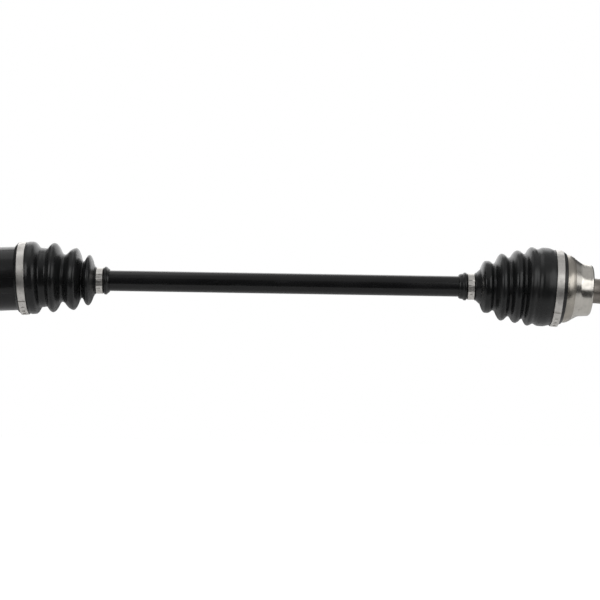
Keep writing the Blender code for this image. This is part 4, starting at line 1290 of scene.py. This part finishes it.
def make_world():
    """White to the eye. What the steel reflects is bright above, dark in front and paler below."""
    world = bpy.data.worlds.new("studio")
    world.use_nodes = True
    tree = world.node_tree
    tree.nodes.clear()
    out = tree.nodes.new("ShaderNodeOutputWorld")
    seen = tree.nodes.new("ShaderNodeBackground")
    seen.inputs["Color"].default_value = (1.0, 1.0, 1.0, 1.0)
    lit = tree.nodes.new("ShaderNodeBackground")
    ways = tree.nodes.new("ShaderNodeLightPath")
    both = tree.nodes.new("ShaderNodeMixShader")
    way = tree.nodes.new("ShaderNodeTexCoord")
    parts = tree.nodes.new("ShaderNodeSeparateXYZ")
    ramp = tree.nodes.new("ShaderNodeMapRange")
    ramp.inputs["From Min"].default_value = -1.0
    bands = tree.nodes.new("ShaderNodeValToRGB")
    stops = ((0.0, 0.32), (0.19, 0.28), (0.24, 0.05), (0.50, 0.035), (0.74, 0.10), (0.81, 0.42), (1.0, 0.58))
    for place, _ in stops[1:-1]:
        bands.color_ramp.elements.new(place)
    for element, (place, level) in zip(bands.color_ramp.elements, stops):
        element.position = place
        element.color = (level, level, level, 1.0)
    wire(tree, [
        (way.outputs["Generated"], parts.inputs[0]),
        (parts.outputs["Z"], ramp.inputs["Value"]),
        (ramp.outputs["Result"], bands.inputs["Fac"]),
        (bands.outputs["Color"], lit.inputs["Color"]),
        (ways.outputs["Is Camera Ray"], both.inputs["Fac"]),
        (lit.outputs[0], both.inputs[1]),
        (seen.outputs[0], both.inputs[2]),
        (both.outputs[0], out.inputs["Surface"]),
    ])
    bpy.context.scene.world = world


class MakeStage(bpy.types.Operator):
    """Make the pale floor, the soft lights and the camera."""

    bl_idname = "axle.make_stage"
    bl_label = "Make Stage"

    def execute(self, context):
        sizes = context.scene.axle_stage
        bm = bmesh.new()
        bmesh.ops.create_grid(bm, x_segments=1, y_segments=1, size=0.5)
        bmesh.ops.scale(bm, vec=(6.0, 3.6, 1.0), verts=bm.verts)
        bmesh.ops.translate(bm, vec=(0.0, 1.8 - sizes.floor_front, sizes.floor_z), verts=bm.verts)
        floor = link("floor", made_mesh("floor", bm, outward=False))
        made, tree, shader = material("floor", Roughness=0.9)
        shader.inputs["Base Color"].default_value = (*context.scene.axle_finishes.floor, 1.0)
        shader.inputs["Emission Strength"].default_value = 0.9
        ways = tree.nodes.new("ShaderNodeLightPath")
        tree.links.new(ways.outputs["Is Camera Ray"], shader.inputs["Emission Color"])
        floor.data.materials.append(made)
        make_world()
        soft_light("top_light", (-0.5, 0.15, 1.5), (0.0, 0.0, 0.0), (1.2, 0.8), 1.6)
        soft_light("left_light", (-1.27, -1.03, 0.56), (-0.34, 0.0, 0.0), (1.2, 0.8), 7.5)
        soft_light("right_light", (1.19, -1.125, 0.52), (0.37, 0.0, 0.0), (1.5, 1.1), 8.5)
        soft_light("end_light", (1.69, -0.43, 0.56), (0.37, 0.0, 0.0), (0.8, 0.7), 2.0)
        soft_light("back_light", (0.0, 0.9, 0.5), (0.0, 0.0, 0.0), (1.3, 0.9), 5.5)
        camera = bpy.data.objects.new("camera", bpy.data.cameras.new("camera"))
        context.scene.collection.objects.link(camera)
        camera.data.sensor_width = 36.0
        camera.data.lens = 36.0 * sizes.distance / sizes.across
        camera.data.clip_end = 20.0
        view = Matrix.Rotation(sizes.roll, 4, "Y") @ Matrix.Rotation(math.pi / 2, 4, "X")
        camera.matrix_world = Matrix.Translation((sizes.aim_x, -sizes.distance, sizes.aim_z)) @ view
        context.scene.camera = camera
        context.scene.view_settings.view_transform = "Standard"
        return {"FINISHED"}


# ---------------------------------------------------------------- add-on


OPERATORS = (
    MakeStage, MakeBar, MakeOuterHousing, MakeInnerHousing, MakeOuterBoot, MakeInnerBoot, MakeClamps,
    MakeInnerWorks,
)
SETTINGS = {
    "axle_bell": BellSettings, "axle_tulip": TulipSettings, "axle_boots": BootSettings,
    "axle_clamps": ClampSettings, "axle_finishes": FinishSettings, "axle_stage": StageSettings,
}


class AxlePanel(bpy.types.Panel):
    """Lists the settings and the steps that make the axle."""

    bl_idname = "VIEW3D_PT_drive_axle"
    bl_label = "Drive Axle"
    bl_space_type = "VIEW_3D"
    bl_region_type = "UI"
    bl_category = "Drive Axle"

    def draw(self, context):
        for operator in OPERATORS:
            self.layout.operator(operator.bl_idname)
        for label in SETTINGS:
            settings = getattr(context.scene, label)
            box = self.layout.box()
            for prop in settings.bl_rna.properties:
                if prop.identifier not in ("rna_type", "name"):
                    box.prop(settings, prop.identifier)


def register():
    for settings in SETTINGS.values():
        bpy.utils.register_class(settings)
    for label, settings in SETTINGS.items():
        setattr(bpy.types.Scene, label, PointerProperty(type=settings))
    for operator in OPERATORS:
        bpy.utils.register_class(operator)
    bpy.utils.register_class(AxlePanel)


def unregister():
    bpy.utils.unregister_class(AxlePanel)
    for operator in reversed(OPERATORS):
        bpy.utils.unregister_class(operator)
    for label, settings in SETTINGS.items():
        delattr(bpy.types.Scene, label)
        bpy.utils.unregister_class(settings)


def main():
    for obj in [o for o in bpy.data.objects if o.name in ("Cube", "Light", "Camera")]:
        bpy.data.objects.remove(obj)
    register()
    for operator in OPERATORS:
        group, name = operator.bl_idname.split(".")
        getattr(getattr(bpy.ops, group), name)()


if __name__ == "__main__":
    main()
